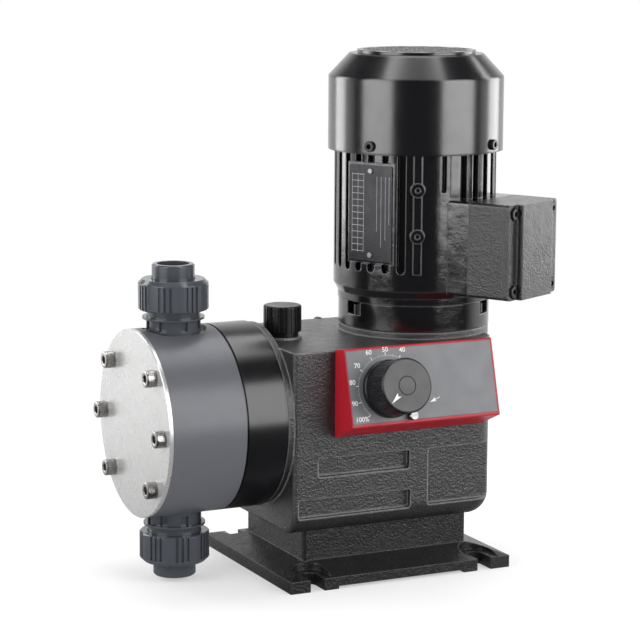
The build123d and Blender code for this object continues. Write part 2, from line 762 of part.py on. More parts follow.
def motor_shaft():
    """The motor shaft with the worm cut on its lower end."""
    root = worm_pitch_radius - tooth_dedendum
    worm_top = worm_bottom + worm_length
    shaft = turned([
        (0, worm_bearing_bottom), (worm_journal_radius, worm_bearing_bottom),
        (worm_journal_radius, worm_bottom - 11.0), (root, worm_bottom - 9.0), (root, worm_bottom + 1),
        (0, worm_bottom + 1),
    ], motor_x)
    shaft += turned([
        (0, worm_top - 1), (root, worm_top - 1), (root, worm_top + 2), (motor_shaft_radius, worm_top + 5),
        (motor_shaft_radius, shield_top + 2), (fan_shaft_radius, shield_top + 2),
        (fan_shaft_radius, fan_bottom + fan_height + 3), (0, fan_bottom + fan_height + 3),
    ], motor_x)
    return shaft + worm_thread()


def worm_wheel():
    """The worm wheel: inclined teeth on a rim, with a thinner web and a hub."""
    tip = wheel_pitch_radius + tooth_addendum - 0.1
    wheel = Rot(-90, 0, 0) * Cylinder(tip, wheel_width)
    web_outer = wheel_pitch_radius - tooth_dedendum - wheel_rim_depth
    relief_depth = (wheel_width - wheel_web_width) / 2
    relief = Cylinder(web_outer, relief_depth) - Cylinder(wheel_hub_radius, relief_depth)
    offset = (wheel_width - relief_depth) / 2
    for side in (-1, 1):
        wheel -= Rot(-90, 0, 0) * Pos(0, 0, side * offset) * relief
    wheel -= Rot(-90, 0, 0) * Cylinder(drive_shaft_radius + fit_gap, 2 * wheel_width)
    slope = tan(radians(pressure_angle))
    gap_half = (axial_pitch - tooth_thickness) / 2 * cos(radians(lead_angle))
    outer = tooth_addendum + 1.0
    profile = make_face(Polyline(
        (-tooth_dedendum, -gap_half + tooth_dedendum * slope), (outer, -gap_half - outer * slope),
        (outer, gap_half + outer * slope), (-tooth_dedendum, gap_half - tooth_dedendum * slope), close=True))
    along = (0, cos(radians(lead_angle)), -sin(radians(lead_angle)))
    gap_plane = Plane(origin=(wheel_pitch_radius, 0, 0), x_dir=(1, 0, 0), z_dir=along)
    gap = extrude(gap_plane * profile, wheel_width, both=True)
    wheel -= around(gap, Axis.Y, even(wheel_teeth))
    return Pos(wheel_x, 0, axis_height) * wheel


def drive_shaft():
    """The eccentric shaft, with one eccentric on each side of the wheel."""
    start = housing_inner_front + drive_boss_length - drive_bearing_width
    end = housing_inner_back - drive_boss_length + drive_bearing_width
    shaft = rod_y(start, end, drive_shaft_radius, wheel_x, axis_height)
    for y0 in (-eccentric_outer, eccentric_inner):
        shaft += rod_y(y0, y0 + eccentric_width, eccentric_radius, wheel_x - eccentricity, axis_height)
    return shaft


def drive_bearing(side):
    """One of the two ball bearings of the eccentric shaft."""
    bearing = ring_bearing(drive_shaft_radius + fit_gap, drive_bearing_radius, drive_bearing_width)
    front = housing_inner_front + drive_boss_length - drive_bearing_width
    back = housing_inner_back - drive_boss_length
    y = front if side < 0 else back
    return Pos(wheel_x, y, axis_height) * Rot(-90, 0, 0) * bearing


def worm_bearing():
    """The ball bearing below the worm."""
    bearing = ring_bearing(worm_journal_radius + fit_gap, worm_bearing_radius, worm_bearing_width)
    return Pos(motor_x, 0, worm_bearing_bottom) * bearing


def tappet():
    """The yoke that straddles the wheel and is pushed by the eccentrics, with the push rod."""
    block_right = yoke_pad_x - yoke_length
    half = yoke_height / 2
    body = block(yoke_left, block_right, -eccentric_outer, eccentric_outer, axis_height - half, axis_height + half)
    for y0 in (-eccentric_outer, eccentric_inner):
        body += block(block_right - 1, yoke_pad_x, y0, y0 + eccentric_width, axis_height - half, axis_height + half)
    stop_right = knob_x - limiter_radius - limiter_offset - 2 * free_gap
    stop_front = -eccentric_outer - 18.0
    body += block(yoke_left, stop_right, stop_front, -eccentric_outer + 1, axis_height, axis_height + half)
    rod_end = head_back + 3.0
    return body + rod_x(rod_end, yoke_left + 1, rod_radius)


def guide_bush():
    """The bronze bush that guides the push rod."""
    end = spring_pocket_bottom - 0.5
    return rod_x(housing_left, end, bush_radius) - rod_x(housing_left, end, rod_radius + fit_gap)


def rod_seal():
    """The lip seal that keeps the oil in at the push rod."""
    seal = rod_x(flange_left, housing_left - 0.5, bush_radius)
    return seal - rod_x(flange_left, housing_left - 0.5, rod_radius + fit_gap)


def return_spring():
    """The return spring round the push rod, as wound rings between ground ends."""
    start = boss_right - 1.5
    end = yoke_left
    wire = 2 * spring_wire_radius
    gap = (end - start - wire) / (spring_turns - 1)
    helix = Helix(gap, end - start - wire, spring_circle_radius, center=(0, 0, 0))
    section = Plane((spring_circle_radius, 0, 0), x_dir=(1, 0, 0), z_dir=(0, 1, 0)) * Circle(spring_wire_radius)
    coil = sweep(section, path=helix, is_frenet=True)
    ends = []
    for z in (0, end - start - wire):
        ends.append(Pos(0, 0, z) * Torus(spring_circle_radius, spring_wire_radius))
    coil = coil + ends
    return Pos(start + spring_wire_radius, 0, axis_height) * Rot(0, 90, 0) * coil


# ---------------------------------------------------------------- filler
def filler_cap():
    """The ribbed oil filler cap with its collar and threaded stub."""
    seat = housing_top + filler_neck_height
    cap = rod_z(filler_collar_top - 0.5, filler_top, filler_radius)
    cap = fillet(cap.edges().group_by(Axis.Z)[-1], 1.5)
    groove = Pos(filler_radius + 0.4, 0, filler_collar_top - 1) * Box(2.2, 1.9, filler_top, align=LOW)
    cap -= around(groove, Axis.Z, even(filler_ribs))
    cap += rod_z(seat + seat_gap, filler_collar_top, filler_collar_radius)
    cap += rod_z(seat - filler_stub_length, seat + 1, filler_stub_radius)
    return Pos(filler_x, 0, 0) * cap


# ---------------------------------------------------------------- motor
def motor_bolt_places():
    """Places of the screws that hold the motor, as (x, y, angle)."""
    places = []
    for angle in motor_bolt_angles:
        x = motor_x + motor_bolt_circle * cos(radians(angle))
        y = motor_bolt_circle * sin(radians(angle))
        places.append((x, y, angle))
    return places


def motor_flange():
    """The lower end shield: flange ring, spigot, bearing seat and open screw pockets."""
    bearing_top = motor_bearing_bottom + motor_bearing_width
    seat = motor_bearing_radius + fit_gap
    flange = turned([
        (motor_shaft_radius + 2, collar_top - motor_spigot_length),
        (motor_spigot_radius, collar_top - motor_spigot_length), (motor_spigot_radius, collar_top),
        (motor_flange_radius - 0.8, collar_top), (motor_flange_radius, collar_top + 0.8),
        (motor_flange_radius, motor_flange_top), (frame_bore_radius - 6, motor_flange_top),
        (frame_bore_radius - 12, bearing_top), (seat, bearing_top), (seat, motor_bearing_bottom),
        (motor_shaft_radius + 2, motor_bearing_bottom),
    ], motor_x)
    for x, y, angle in motor_bolt_places():
        flange -= rod_z(collar_top - 1, motor_flange_top, motor_bolt_radius + bolt_gap, x, y)
        pocket = Cylinder(motor_bolt_head_radius + 1.5, 30, align=LOW)
        pocket += Pos(10, 0, 0) * Box(20, 2 * motor_bolt_head_radius + 3, 30, align=LOW)
        flange -= Pos(x, y, motor_bolt_seat) * Rot(0, 0, angle) * pocket
    return flange


def motor_bolts():
    """The screws that hold the motor on the gear housing."""
    screw = cap_screw(motor_bolt_seat - housing_inner_top - 2, motor_bolt_radius, motor_bolt_head_radius, 8.0)
    return joined(Pos(x, y, motor_bolt_seat) * screw for x, y, _ in motor_bolt_places())


def groove_angles():
    """Angles of the cooling grooves, leaving out the ribbed strip and the flat band."""
    angles = []
    for i in range(round(360 / groove_pitch)):
        angle = groove_phase + groove_pitch * i
        if not groove_phase + 1 < angle < groove_phase + 3.5 * groove_pitch:
            angles.append(angle)
    return angles


def stator_frame():
    """The finned motor frame: a barrel with milled cooling grooves, a terminal pad and a plate pad."""
    frame = turned([
        (frame_bore_radius, frame_bottom), (frame_foot_radius, frame_bottom),
        (frame_foot_radius, frame_shoulder_bottom), (frame_radius, frame_shoulder_top), (frame_radius, frame_top),
        (frame_bore_radius, frame_top),
    ], motor_x)
    depth = frame_radius - groove_floor_radius + 3
    grooves = []
    for angle in groove_angles():
        plane = radial_plane(angle, groove_floor_radius, groove_bottom + groove_width / 2)
        outline = Circle(groove_width / 2)
        outline += Pos(0, (frame_top - groove_bottom) / 2) * Rectangle(groove_width, frame_top - groove_bottom)
        grooves.append(extrude(plane * outline, depth))
    frame -= grooves
    short = radial_plane(band_angle - 8.0, groove_floor_radius + 2, frame_top - 28)
    outline = Circle(2.5) + Pos(0, 20) * Rectangle(5, 40)
    frame -= extrude(short * outline, depth)
    rib_middle = (groove_bottom + frame_top) / 2
    rib = Box(rib_width, frame_top - groove_bottom, rib_height + 3, align=LOW)
    frame += radial_plane(rib_angle, frame_radius - 3, rib_middle).location * rib
    for height in rib_boss_heights:
        boss = Cylinder(rib_boss_radius, rib_height + 4, align=LOW) - Pos(0, 0, 3) * Cylinder(2.0, 9, align=LOW)
        frame += radial_plane(rib_angle, frame_radius - 3, height).location * boss
    band = Box(band_width, frame_top - box_top - 3, 4, align=LOW)
    band_height = (frame_top + box_top + 3) / 2
    frame += radial_plane(band_angle, frame_radius - 3, band_height).location * band
    pad_height = nameplate_top - nameplate_bottom + 4
    pad_depth = nameplate_offset - nameplate_thickness - frame_bore_radius - 4
    pad = Box(nameplate_width + 3, pad_height, pad_depth, align=LOW)
    pad_middle = (nameplate_top + nameplate_bottom) / 2
    flat = Pos(0, 0, pad_depth) * Box(nameplate_width + 3, pad_height, 20, align=LOW)
    pad_plane = radial_plane(nameplate_angle, frame_bore_radius + 4, pad_middle).location
    frame = frame + pad_plane * pad - pad_plane * flat
    box_middle = (box_bottom + box_top) / 2
    box_pad = Box(box_width, box_top - box_bottom, box_pad_reach - 44.0, align=LOW)
    box_pad = fillet(box_pad.edges().filter_by(Axis.Z), box_corner)
    frame += radial_plane(box_angle, 44.0, box_middle).location * box_pad
    frame -= rod_z(frame_bottom, frame_top, frame_bore_radius, motor_x)
    duct = Box(box_width - 30, box_top - box_bottom - 36, box_pad_reach, align=LOW)
    return frame - radial_plane(box_angle, frame_bore_radius - 4, box_middle).location * duct


def nameplate():
    """The bare metal plate on its flat pad."""
    height = nameplate_top - nameplate_bottom
    plate = Box(nameplate_width, height, nameplate_thickness, align=LOW)
    plate = fillet(plate.edges().filter_by(Axis.Z), 1.5)
    middle = (nameplate_top + nameplate_bottom) / 2
    return radial_plane(nameplate_angle, nameplate_offset - nameplate_thickness, middle).location * plate


def nameplate_rivets():
    """The two rivets of the plate."""
    middle = (nameplate_top + nameplate_bottom) / 2
    rivets = []
    for side in (-1, 1):
        height = middle + side * nameplate_rivet_spacing / 2
        rivet = Cylinder(2.3, 1.1, align=LOW)
        rivet = chamfer(rivet.edges().group_by(Axis.Z)[-1], 0.4)
        rivets.append(radial_plane(nameplate_angle, nameplate_offset, height).location * rivet)
    return joined(rivets)


def shield_angles():
    """Angles of the cowl's four screws."""
    return even(4, cowl_screw_angle)


def motor_end_shield():
    """The upper end shield with its bearing seat and the four lugs that carry the cowl."""
    seat = motor_bearing_radius + fit_gap
    hub_top = shield_top + 1.0
    shield = turned([
        (motor_shaft_radius + 1, frame_top - 6), (seat + 4, frame_top - 6), (frame_bore_radius - 4, frame_top - 2),
        (frame_bore_radius - fit_gap, frame_top - 2), (frame_bore_radius - fit_gap, frame_top),
        (shield_radius, frame_top), (shield_radius, shield_top - 3), (shield_radius - 8, shield_top),
        (seat + 3, hub_top), (motor_shaft_radius + 1, hub_top),
    ], motor_x)
    shield -= rod_z(frame_top - 2, frame_top - 2 + motor_bearing_width - 2, seat, motor_x)
    reach = cowl_radius - cowl_wall - fit_gap
    for angle in shield_angles():
        lug = Box(shield_lug_width, 9.0, reach - shield_radius + 8, align=LOW)
        shield += radial_plane(angle, shield_radius - 8, cowl_screw_height).location * lug
    shield &= rod_z(frame_top - 10, shield_top + 10, reach, motor_x)
    for angle in shield_angles():
        hole = Cylinder(cowl_screw_radius + thread_gap, 20, align=LOW)
        shield -= radial_plane(angle, reach - 8, cowl_screw_height).location * hole
    return shield


def fan_cowl():
    """The fan cowl: a drum with a conical shoulder and a square-mesh grille in its crown."""
    wall = cowl_wall
    cowl = turned([
        (cowl_radius - wall, cowl_bottom), (cowl_radius, cowl_bottom), (cowl_radius, cowl_shoulder),
        (cowl_crown_radius, cowl_top), (0, cowl_top), (0, cowl_top - wall),
        (cowl_crown_radius - wall / 2, cowl_top - wall), (cowl_radius - wall, cowl_shoulder - wall / 2),
    ], motor_x)
    cowl += rod_z(cowl_top - wall, cowl_top + grille_height, grille_radius + 2, motor_x)
    well = Pos(motor_x, 0, cowl_top - wall - 1) * Cylinder(grille_radius, wall + grille_height - 0.6, align=LOW)
    cowl -= well
    holes = []
    steps = int(grille_radius / grille_pitch) + 1
    for i in range(-steps, steps + 1):
        for j in range(-steps, steps + 1):
            x = i * grille_pitch
            y = j * grille_pitch
            if sqrt(x * x + y * y) + grille_hole * 0.7 < grille_radius:
                holes.append(Pos(motor_x + x, y, cowl_top + grille_height) * Box(grille_hole, grille_hole, 12))
    cowl -= holes
    for angle in shield_angles():
        hole = Cylinder(cowl_screw_radius + bolt_gap, 20, align=LOW)
        cowl -= radial_plane(angle, cowl_radius - 8, cowl_screw_height).location * hole
    return cowl


def cowl_screws():
    """The four screws of the cowl."""
    screw = cap_screw(7.0, cowl_screw_radius, 4.2, 2.6)
    seat = cowl_radius
    return joined(
        radial_plane(angle, seat, cowl_screw_height).location * screw for angle in shield_angles())


def stator_core():
    """The laminated stator with its end windings."""
    inner = rotor_radius + 0.6
    core = rod_z(core_bottom, core_top, frame_bore_radius - fit_gap, motor_x)
    core += rod_z(core_bottom - winding_height, core_top + winding_height, frame_bore_radius - 5, motor_x)
    return core - rod_z(core_bottom - 30, core_top + 30, inner, motor_x) - rod_z(
        core_top, core_top + 30, inner + 4, motor_x) - rod_z(core_bottom - 30, core_bottom, inner + 4, motor_x)


def rotor_core():
    """The rotor body pressed on the motor shaft."""
    core = rod_z(core_bottom, core_top, rotor_radius, motor_x)
    return core - rod_z(core_bottom, core_top, motor_shaft_radius + fit_gap, motor_x)


def cooling_fan():
    """The radial cooling fan on the upper shaft end."""
    fan = rod_z(fan_bottom, fan_bottom + fan_height, 13.0, motor_x)
    fan += rod_z(fan_bottom, fan_bottom + 2.0, fan_radius, motor_x)
    blade = block(motor_x + 10, motor_x + fan_radius, -1.0, 1.0, fan_bottom, fan_bottom + fan_height - 2)
    fan += around(blade, motor_axis, even(fan_blades))
    return fan - rod_z(fan_bottom - 1, fan_bottom + fan_height + 1, fan_shaft_radius + fit_gap, motor_x)


def motor_bearing(side):
    """One of the two ball bearings of the motor."""
    if side < 0:
        bearing = ring_bearing(motor_shaft_radius + fit_gap, motor_bearing_radius, motor_bearing_width)
        return Pos(motor_x, 0, motor_bearing_bottom) * bearing
    bearing = ring_bearing(motor_shaft_radius + fit_gap, motor_bearing_radius, motor_bearing_width - 2)
    return Pos(motor_x, 0, frame_top - 2) * bearing


# ---------------------------------------------------------------- terminal box
def box_location(reach):
    """A place on the terminal box's own axis, at its mid height."""
    return radial_plane(box_angle, reach, (box_bottom + box_top) / 2).location


def terminal_box():
    """The cast terminal box with two threaded cable entries on its far side."""
    height = box_top - box_bottom
    depth = box_seam - box_pad_reach
    box = Box(box_width, height, depth, align=LOW)
    box = fillet(box.edges().filter_by(Axis.Z), box_corner)
    inside = Box(box_width - 2 * box_wall, height - 2 * box_wall, depth, align=LOW)
    box -= Pos(0, 0, box_wall) * inside
    box -= Box(box_width - 30, height - 36, 3 * box_wall)
    middle = depth / 2
    for x in (-1, 1):
        for y in (-1, 1):
            corner_x = x * (box_width / 2 - lid_screw_inset)
            corner_y = y * (height / 2 - lid_screw_inset)
            post = Box(2 * lid_screw_inset - 2, 2 * lid_screw_inset - 2, depth, align=LOW)
            box += Pos(corner_x, corner_y, 0) * post
            box -= Pos(corner_x, corner_y, depth - 16) * Cylinder(lid_screw_radius + thread_gap, 20, align=LOW)
    for y in (-entry_spacing / 2, entry_spacing / 2):
        face = box_width / 2
        entry = Pos(face - 1, y, middle) * Rot(0, 90, 0)
        box += entry * Cylinder(entry_boss_radius, entry_boss_height + 1, align=LOW)
        box -= entry * Pos(0, 0, -box_wall) * Cylinder(entry_radius, 20, align=LOW)
    return box_location(box_pad_reach) * box


def blanking_plug():
    """The plug that closes the upper cable entry."""
    face = box_width / 2 + entry_boss_height
    plug = Cylinder(entry_boss_radius - 1, 3.0, align=LOW)
    plug = chamfer(plug.edges().group_by(Axis.Z)[-1], 0.8)
    plug -= Pos(0, 0, 1.6) * Box(16, 2.4, 4, align=LOW)
    plug += Pos(0, 0, -7) * Cylinder(entry_radius - thread_gap, 7.5, align=LOW)
    middle = (box_seam - box_pad_reach) / 2
    return box_location(box_pad_reach) * Pos(face, entry_spacing / 2, middle) * Rot(0, 90, 0) * plug


def terminal_lid():
    """The lid: a raised middle face between stepped sides, with recessed screw corners."""
    height = box_top - box_bottom
    thickness = box_lid_reach - box_seam
    lid = Box(box_width, height, thickness * 0.55, align=LOW)
    lid = fillet(lid.edges().filter_by(Axis.Z), box_corner)
    raised = Box(lid_face_width, height, thickness, align=LOW)
    lid += fillet(raised.edges().filter_by(Axis.Y).group_by(Axis.Z)[-1], 1.5)
    for side in (-1, 1):
        lid -= Pos(side * (lid_face_width / 2 + 1.6), 0, thickness * 0.4) * Box(1.6, height + 2, 10, align=LOW)
    for x in (-1, 1):
        for y in (-1, 1):
            corner = Pos(x * (box_width / 2 - lid_screw_inset), y * (height / 2 - lid_screw_inset), 0)
            lid -= corner * Pos(0, 0, thickness * 0.3) * Cylinder(5.4, 20, align=LOW)
            lid -= corner * Cylinder(lid_screw_radius + bolt_gap, 20)
    inside = Box(box_width - 24, height - 24, 2 * (thickness - box_wall), align=Align.CENTER)
    return box_location(box_seam) * (lid - inside)


def lid_screws():
    """The four screws of the terminal box's lid."""
    height = box_top - box_bottom
    thickness = box_lid_reach - box_seam
    screw = cap_screw(14.0, lid_screw_radius, 4.4, 4.2)
    screws = []
    for x in (-1, 1):
        for y in (-1, 1):
            place = Pos(x * (box_width / 2 - lid_screw_inset), y * (height / 2 - lid_screw_inset), thickness * 0.3)
            screws.append(box_location(box_seam) * place * screw)
    return joined(screws)


def terminal_block():
    """The terminal board with its six studs."""
    board = Box(42, 34, 8, align=LOW)
    for x in (-13, 0, 13):
        for y in (-8, 8):
            board += Pos(x, y, 7) * Cylinder(2.0, 9, align=LOW)
            board += Pos(x, y, 7) * extrude(RegularPolygon(4.0, 6), 4)
    feet = joined(Pos(x, 0, 0) * Box(4, 42, 3, align=LOW) for x in (-19, 19))
    return box_location(box_pad_reach + box_wall) * (board + feet)


# ---------------------------------------------------------------- stroke dial
def dial_profile(inset=0.0):
    """The dial housing's wedge in the YZ plane, set in from its top, front and underside."""
    back = housing_front + inset
    face = make_face(Polyline(
        (back, dial_back_top), (housing_front - dial_top_reach, dial_top),
        (housing_front - dial_bottom_reach, dial_bottom), (housing_front - dial_wall, dial_foot),
        (back, dial_foot), close=True))
    return offset(face, -inset, kind=Kind.INTERSECTION) if inset else face


def wedge(x0, x1, inset=0.0):
    """The wedge between two ends."""
    profile = Plane((x0, 0, 0), x_dir=(0, 1, 0), z_dir=(1, 0, 0)) * dial_profile(inset)
    return extrude(profile, x1 - x0)


def dial_face_size():
    """Width and height of the sloped front face, and its centre in the dial plane."""
    height = (dial_top - dial_bottom) / cos(radians(dial_tilt))
    above = (dial_top - knob_height_on_axis) / cos(radians(dial_tilt))
    width = dial_right - dial_left
    return width, height, (dial_left + dial_right) / 2 - knob_x, above - height / 2


def dial_housing():
    """The wedge-shaped dial housing, hollow and open to the gear housing."""
    body = wedge(dial_left, dial_right)
    outer = body.edges().filter_by(Axis.X).group_by(Axis.Y)
    body = fillet(outer[0] + outer[1], dial_edge_radius)
    body -= wedge(dial_left + dial_wall, dial_right - dial_wall, dial_wall)
    width, height, cx, cy = dial_face_size()
    body += dial_plane * Pos(0, 0, -8) * Cylinder(knob_bush_radius + 3, 7.0, align=LOW)
    lock = Pos(lock_offset_x, lock_offset_y, -lock_depth)
    body += dial_plane * lock * Cylinder(lock_shank_radius + 2.4, lock_depth - 1, align=LOW)
    recess = Pos(cx, cy, -dial_plate_thickness) * Box(width - 2 * dial_rim, height - 2 * dial_rim, 5, align=LOW)
    body -= dial_plane * recess
    body -= dial_plane * Cylinder(knob_bush_radius + fit_gap, 60)
    body -= dial_plane * lock * Pos(0, 0, -2) * Cylinder(lock_shank_radius + free_gap, 20, align=LOW)
    return body


def dial_plate():
    """The scale plate set into the sloped face."""
    width, height, cx, cy = dial_face_size()
    play = 2 * (dial_rim + 0.15)
    plate = Box(width - play, height - play, dial_plate_thickness, align=LOW)
    plate = fillet(plate.edges().filter_by(Axis.Z), 1.0)
    plate = Pos(cx, cy, -dial_plate_thickness) * plate
    plate -= Cylinder(knob_bush_radius + 0.5, 10)
    plate -= Pos(lock_offset_x, lock_offset_y, 0) * Cylinder(lock_shank_radius + free_gap, 10)
    return dial_plane * plate


def knob_bush():
    """The bush that guides the adjusting shaft through both housings."""
    length = 46.0
    bush = Pos(0, 0, -length) * Cylinder(knob_bush_radius, length - 0.3, align=LOW)
    bore = Pos(0, 0, -length - 1) * Cylinder(knob_shaft_radius + fit_gap, length + 5, align=LOW)
    return dial_plane * (bush - bore)


def knob():
    """The knurled adjusting knob with its skirt."""
    body = Pos(0, 0, knob_gap) * Cylinder(knob_skirt_radius, knob_skirt_height, align=LOW)
    body = chamfer(body.edges().group_by(Axis.Z)[-1], 0.8)
    grip = Pos(0, 0, knob_gap + 1) * Cylinder(knob_radius, knob_length - knob_gap - 1, align=LOW)
    grip = chamfer(grip.edges().group_by(Axis.Z)[-1], 1.0)
    cut = Pos(knob_radius + 0.9, 0, knob_gap + knob_skirt_height) * Rot(0, 0, 45) * Box(
        1.27 + knob_knurl_depth, 1.27 + knob_knurl_depth, knob_length, align=LOW)
    grip -= around(cut, Axis.Z, even(knob_knurls))
    body += grip
    body -= Pos(0, 0, knob_length - knob_cap_thickness) * Cylinder(knob_cap_radius + 0.1, 5, align=LOW)
    body -= Cylinder(knob_bush_radius + 0.6, 2 * (knob_gap + 1.5))
    body -= Cylinder(knob_shaft_radius + fit_gap, 2 * (knob_length - 8))
    return dial_plane * body


def knob_cap():
    """The flat cap set into the knob's face."""
    cap = Cylinder(knob_cap_radius, knob_cap_thickness, align=LOW)
    return dial_plane * Pos(0, 0, knob_length - knob_cap_thickness) * cap


def adjusting_shaft():
    """The shaft turned by the knob, ending in the eccentric that limits the return stroke."""
    shaft = Pos(0, 0, -knob_shaft_length) * Cylinder(
        knob_shaft_radius, knob_shaft_length + knob_length - 8, align=LOW)
    shaft += Pos(limiter_offset, 0, -knob_shaft_length) * Cylinder(limiter_radius, limiter_thickness, align=LOW)
    return dial_plane * shaft


def lock_screw():
    """The slotted screw that locks the knob's setting."""
    screw = Pos(0, 0, lock_rise - lock_head_height) * Cylinder(lock_head_radius, lock_head_height, align=LOW)
    screw = chamfer(screw.edges().group_by(Axis.Z)[-1], 0.4)
    screw += Pos(0, 0, -lock_depth) * Cylinder(lock_shank_radius, lock_depth + lock_rise - 1, align=LOW)
    screw -= Pos(0, 0, lock_rise - 1.2) * Box(2 * lock_head_radius + 2, 1.1, 4, align=LOW)
    return dial_plane * Pos(lock_offset_x, lock_offset_y, 0) * screw


# ---------------------------------------------------------------- the assembly
def assembly():
    """Every piece by its node name."""
    return {
        "base_plate": base_plate(),
        "base_tie_screws": base_tie_screws(),
        "gear_housing": gear_housing(),
        "rear_cover": rear_cover(),
        "cover_screws": cover_screws(),
        "drain_plug": drain_plug(),
        "intermediate_ring": intermediate_ring(),
        "dosing_head": dosing_head(),
        "front_plate": front_plate(),
        "head_bolts": head_bolts(),
        "membrane": membrane(),
        "membrane_core": membrane_core(),
        "suction_valve": valve_body(suction_seat_reach, -1),
        "discharge_valve": valve_body(discharge_seat_reach, 1),
        "suction_ball": valve_ball(suction_seat_reach, -1),
        "discharge_ball": valve_ball(discharge_seat_reach, 1),
        "suction_seal": valve_seal(-1),
        "discharge_seal": valve_seal(1),
        "suction_nut": union_nut(-1),
        "discharge_nut": union_nut(1),
        "suction_socket": pipe_socket(-1),
        "discharge_socket": pipe_socket(1),
        "motor_shaft": motor_shaft(),
        "worm_wheel": worm_wheel(),
        "drive_shaft": drive_shaft(),
        "drive_bearing_front": drive_bearing(-1),
        "drive_bearing_rear": drive_bearing(1),
        "worm_bearing": worm_bearing(),
        "tappet": tappet(),
        "guide_bush": guide_bush(),
        "rod_seal": rod_seal(),
        "return_spring": return_spring(),
        "filler_cap": filler_cap(),
        "motor_flange": motor_flange(),
        "motor_bolts": motor_bolts(),
        "stator_frame": stator_frame(),
        "stator_core": stator_core(),
        "rotor_core": rotor_core(),
        "motor_bearing_lower": motor_bearing(-1),
        "motor_bearing_upper": motor_bearing(1),
        "motor_end_shield": motor_end_shield(),
        "cooling_fan": cooling_fan(),
        "fan_cowl": fan_cowl(),
        "cowl_screws": cowl_screws(),
        "nameplate": nameplate(),
        "nameplate_rivets": nameplate_rivets(),
        "terminal_box": terminal_box(),
        "terminal_lid": terminal_lid(),
        "lid_screws": lid_screws(),
        "terminal_block": terminal_block(),
        "blanking_plug": blanking_plug(),
        "dial_housing": dial_housing(),
        "dial_plate": dial_plate(),
        "knob_bush": knob_bush(),
        "knob": knob(),
        "knob_cap": knob_cap(),
        "adjusting_shaft": adjusting_shaft(),
        "lock_screw": lock_screw(),
    }


os.makedirs("parts", exist_ok=True)
for name, shape in assembly().items():
    export_step(shape, f"parts/{name}.step")
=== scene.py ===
"""Visual model of a motor-driven diaphragm metering pump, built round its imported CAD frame.

Sizes are in millimetres in every class and are turned into metres when a mesh is written. The frame
is the CAD's: +Z is up, the stroke axis runs along X with the liquid end towards -X, the stroke dial
faces -Y, and the motor stands upright over the gear housing.
"""

import json
import logging
from dataclasses import dataclass
from enum import Enum

import bmesh
import bpy
import numpy as np
from mathutils import Matrix, Vector


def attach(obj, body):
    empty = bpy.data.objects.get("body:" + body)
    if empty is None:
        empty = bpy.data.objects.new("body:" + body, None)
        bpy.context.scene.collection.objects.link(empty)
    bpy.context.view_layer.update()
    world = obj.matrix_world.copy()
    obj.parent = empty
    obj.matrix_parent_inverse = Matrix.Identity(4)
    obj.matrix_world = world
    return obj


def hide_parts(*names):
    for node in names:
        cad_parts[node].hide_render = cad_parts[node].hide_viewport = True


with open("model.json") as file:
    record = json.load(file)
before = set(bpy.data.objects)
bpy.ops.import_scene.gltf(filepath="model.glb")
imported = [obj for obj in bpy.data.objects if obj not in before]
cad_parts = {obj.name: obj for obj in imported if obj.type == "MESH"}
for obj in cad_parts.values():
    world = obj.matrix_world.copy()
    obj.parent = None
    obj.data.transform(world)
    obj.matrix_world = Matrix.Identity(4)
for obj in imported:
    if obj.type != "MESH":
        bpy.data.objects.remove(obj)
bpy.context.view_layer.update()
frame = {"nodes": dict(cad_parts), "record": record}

LOG = logging.getLogger("pump")
MM = 0.001
SHARP_ANGLE = 32.0  # degrees past which an edge stays sharp
MERGE_DISTANCE = 1e-7  # metres under which points of one piece are one
FINE_TURN = 96  # points round a wide circle
COARSE_TURN = 48  # points round a small opening
Array = np.ndarray
Colour = tuple[float, float, float]
Socket = bpy.types.NodeSocket


# ---------------------------------------------------------------- node graphs
class Relief(Enum):
    """How the skin of a finish is raised."""

    CAST = "cast"
    PEEL = "peel"
    MOULDED = "moulded"
    BRUSHED = "brushed"
    TURNED = "turned"
    LAMINATED = "laminated"


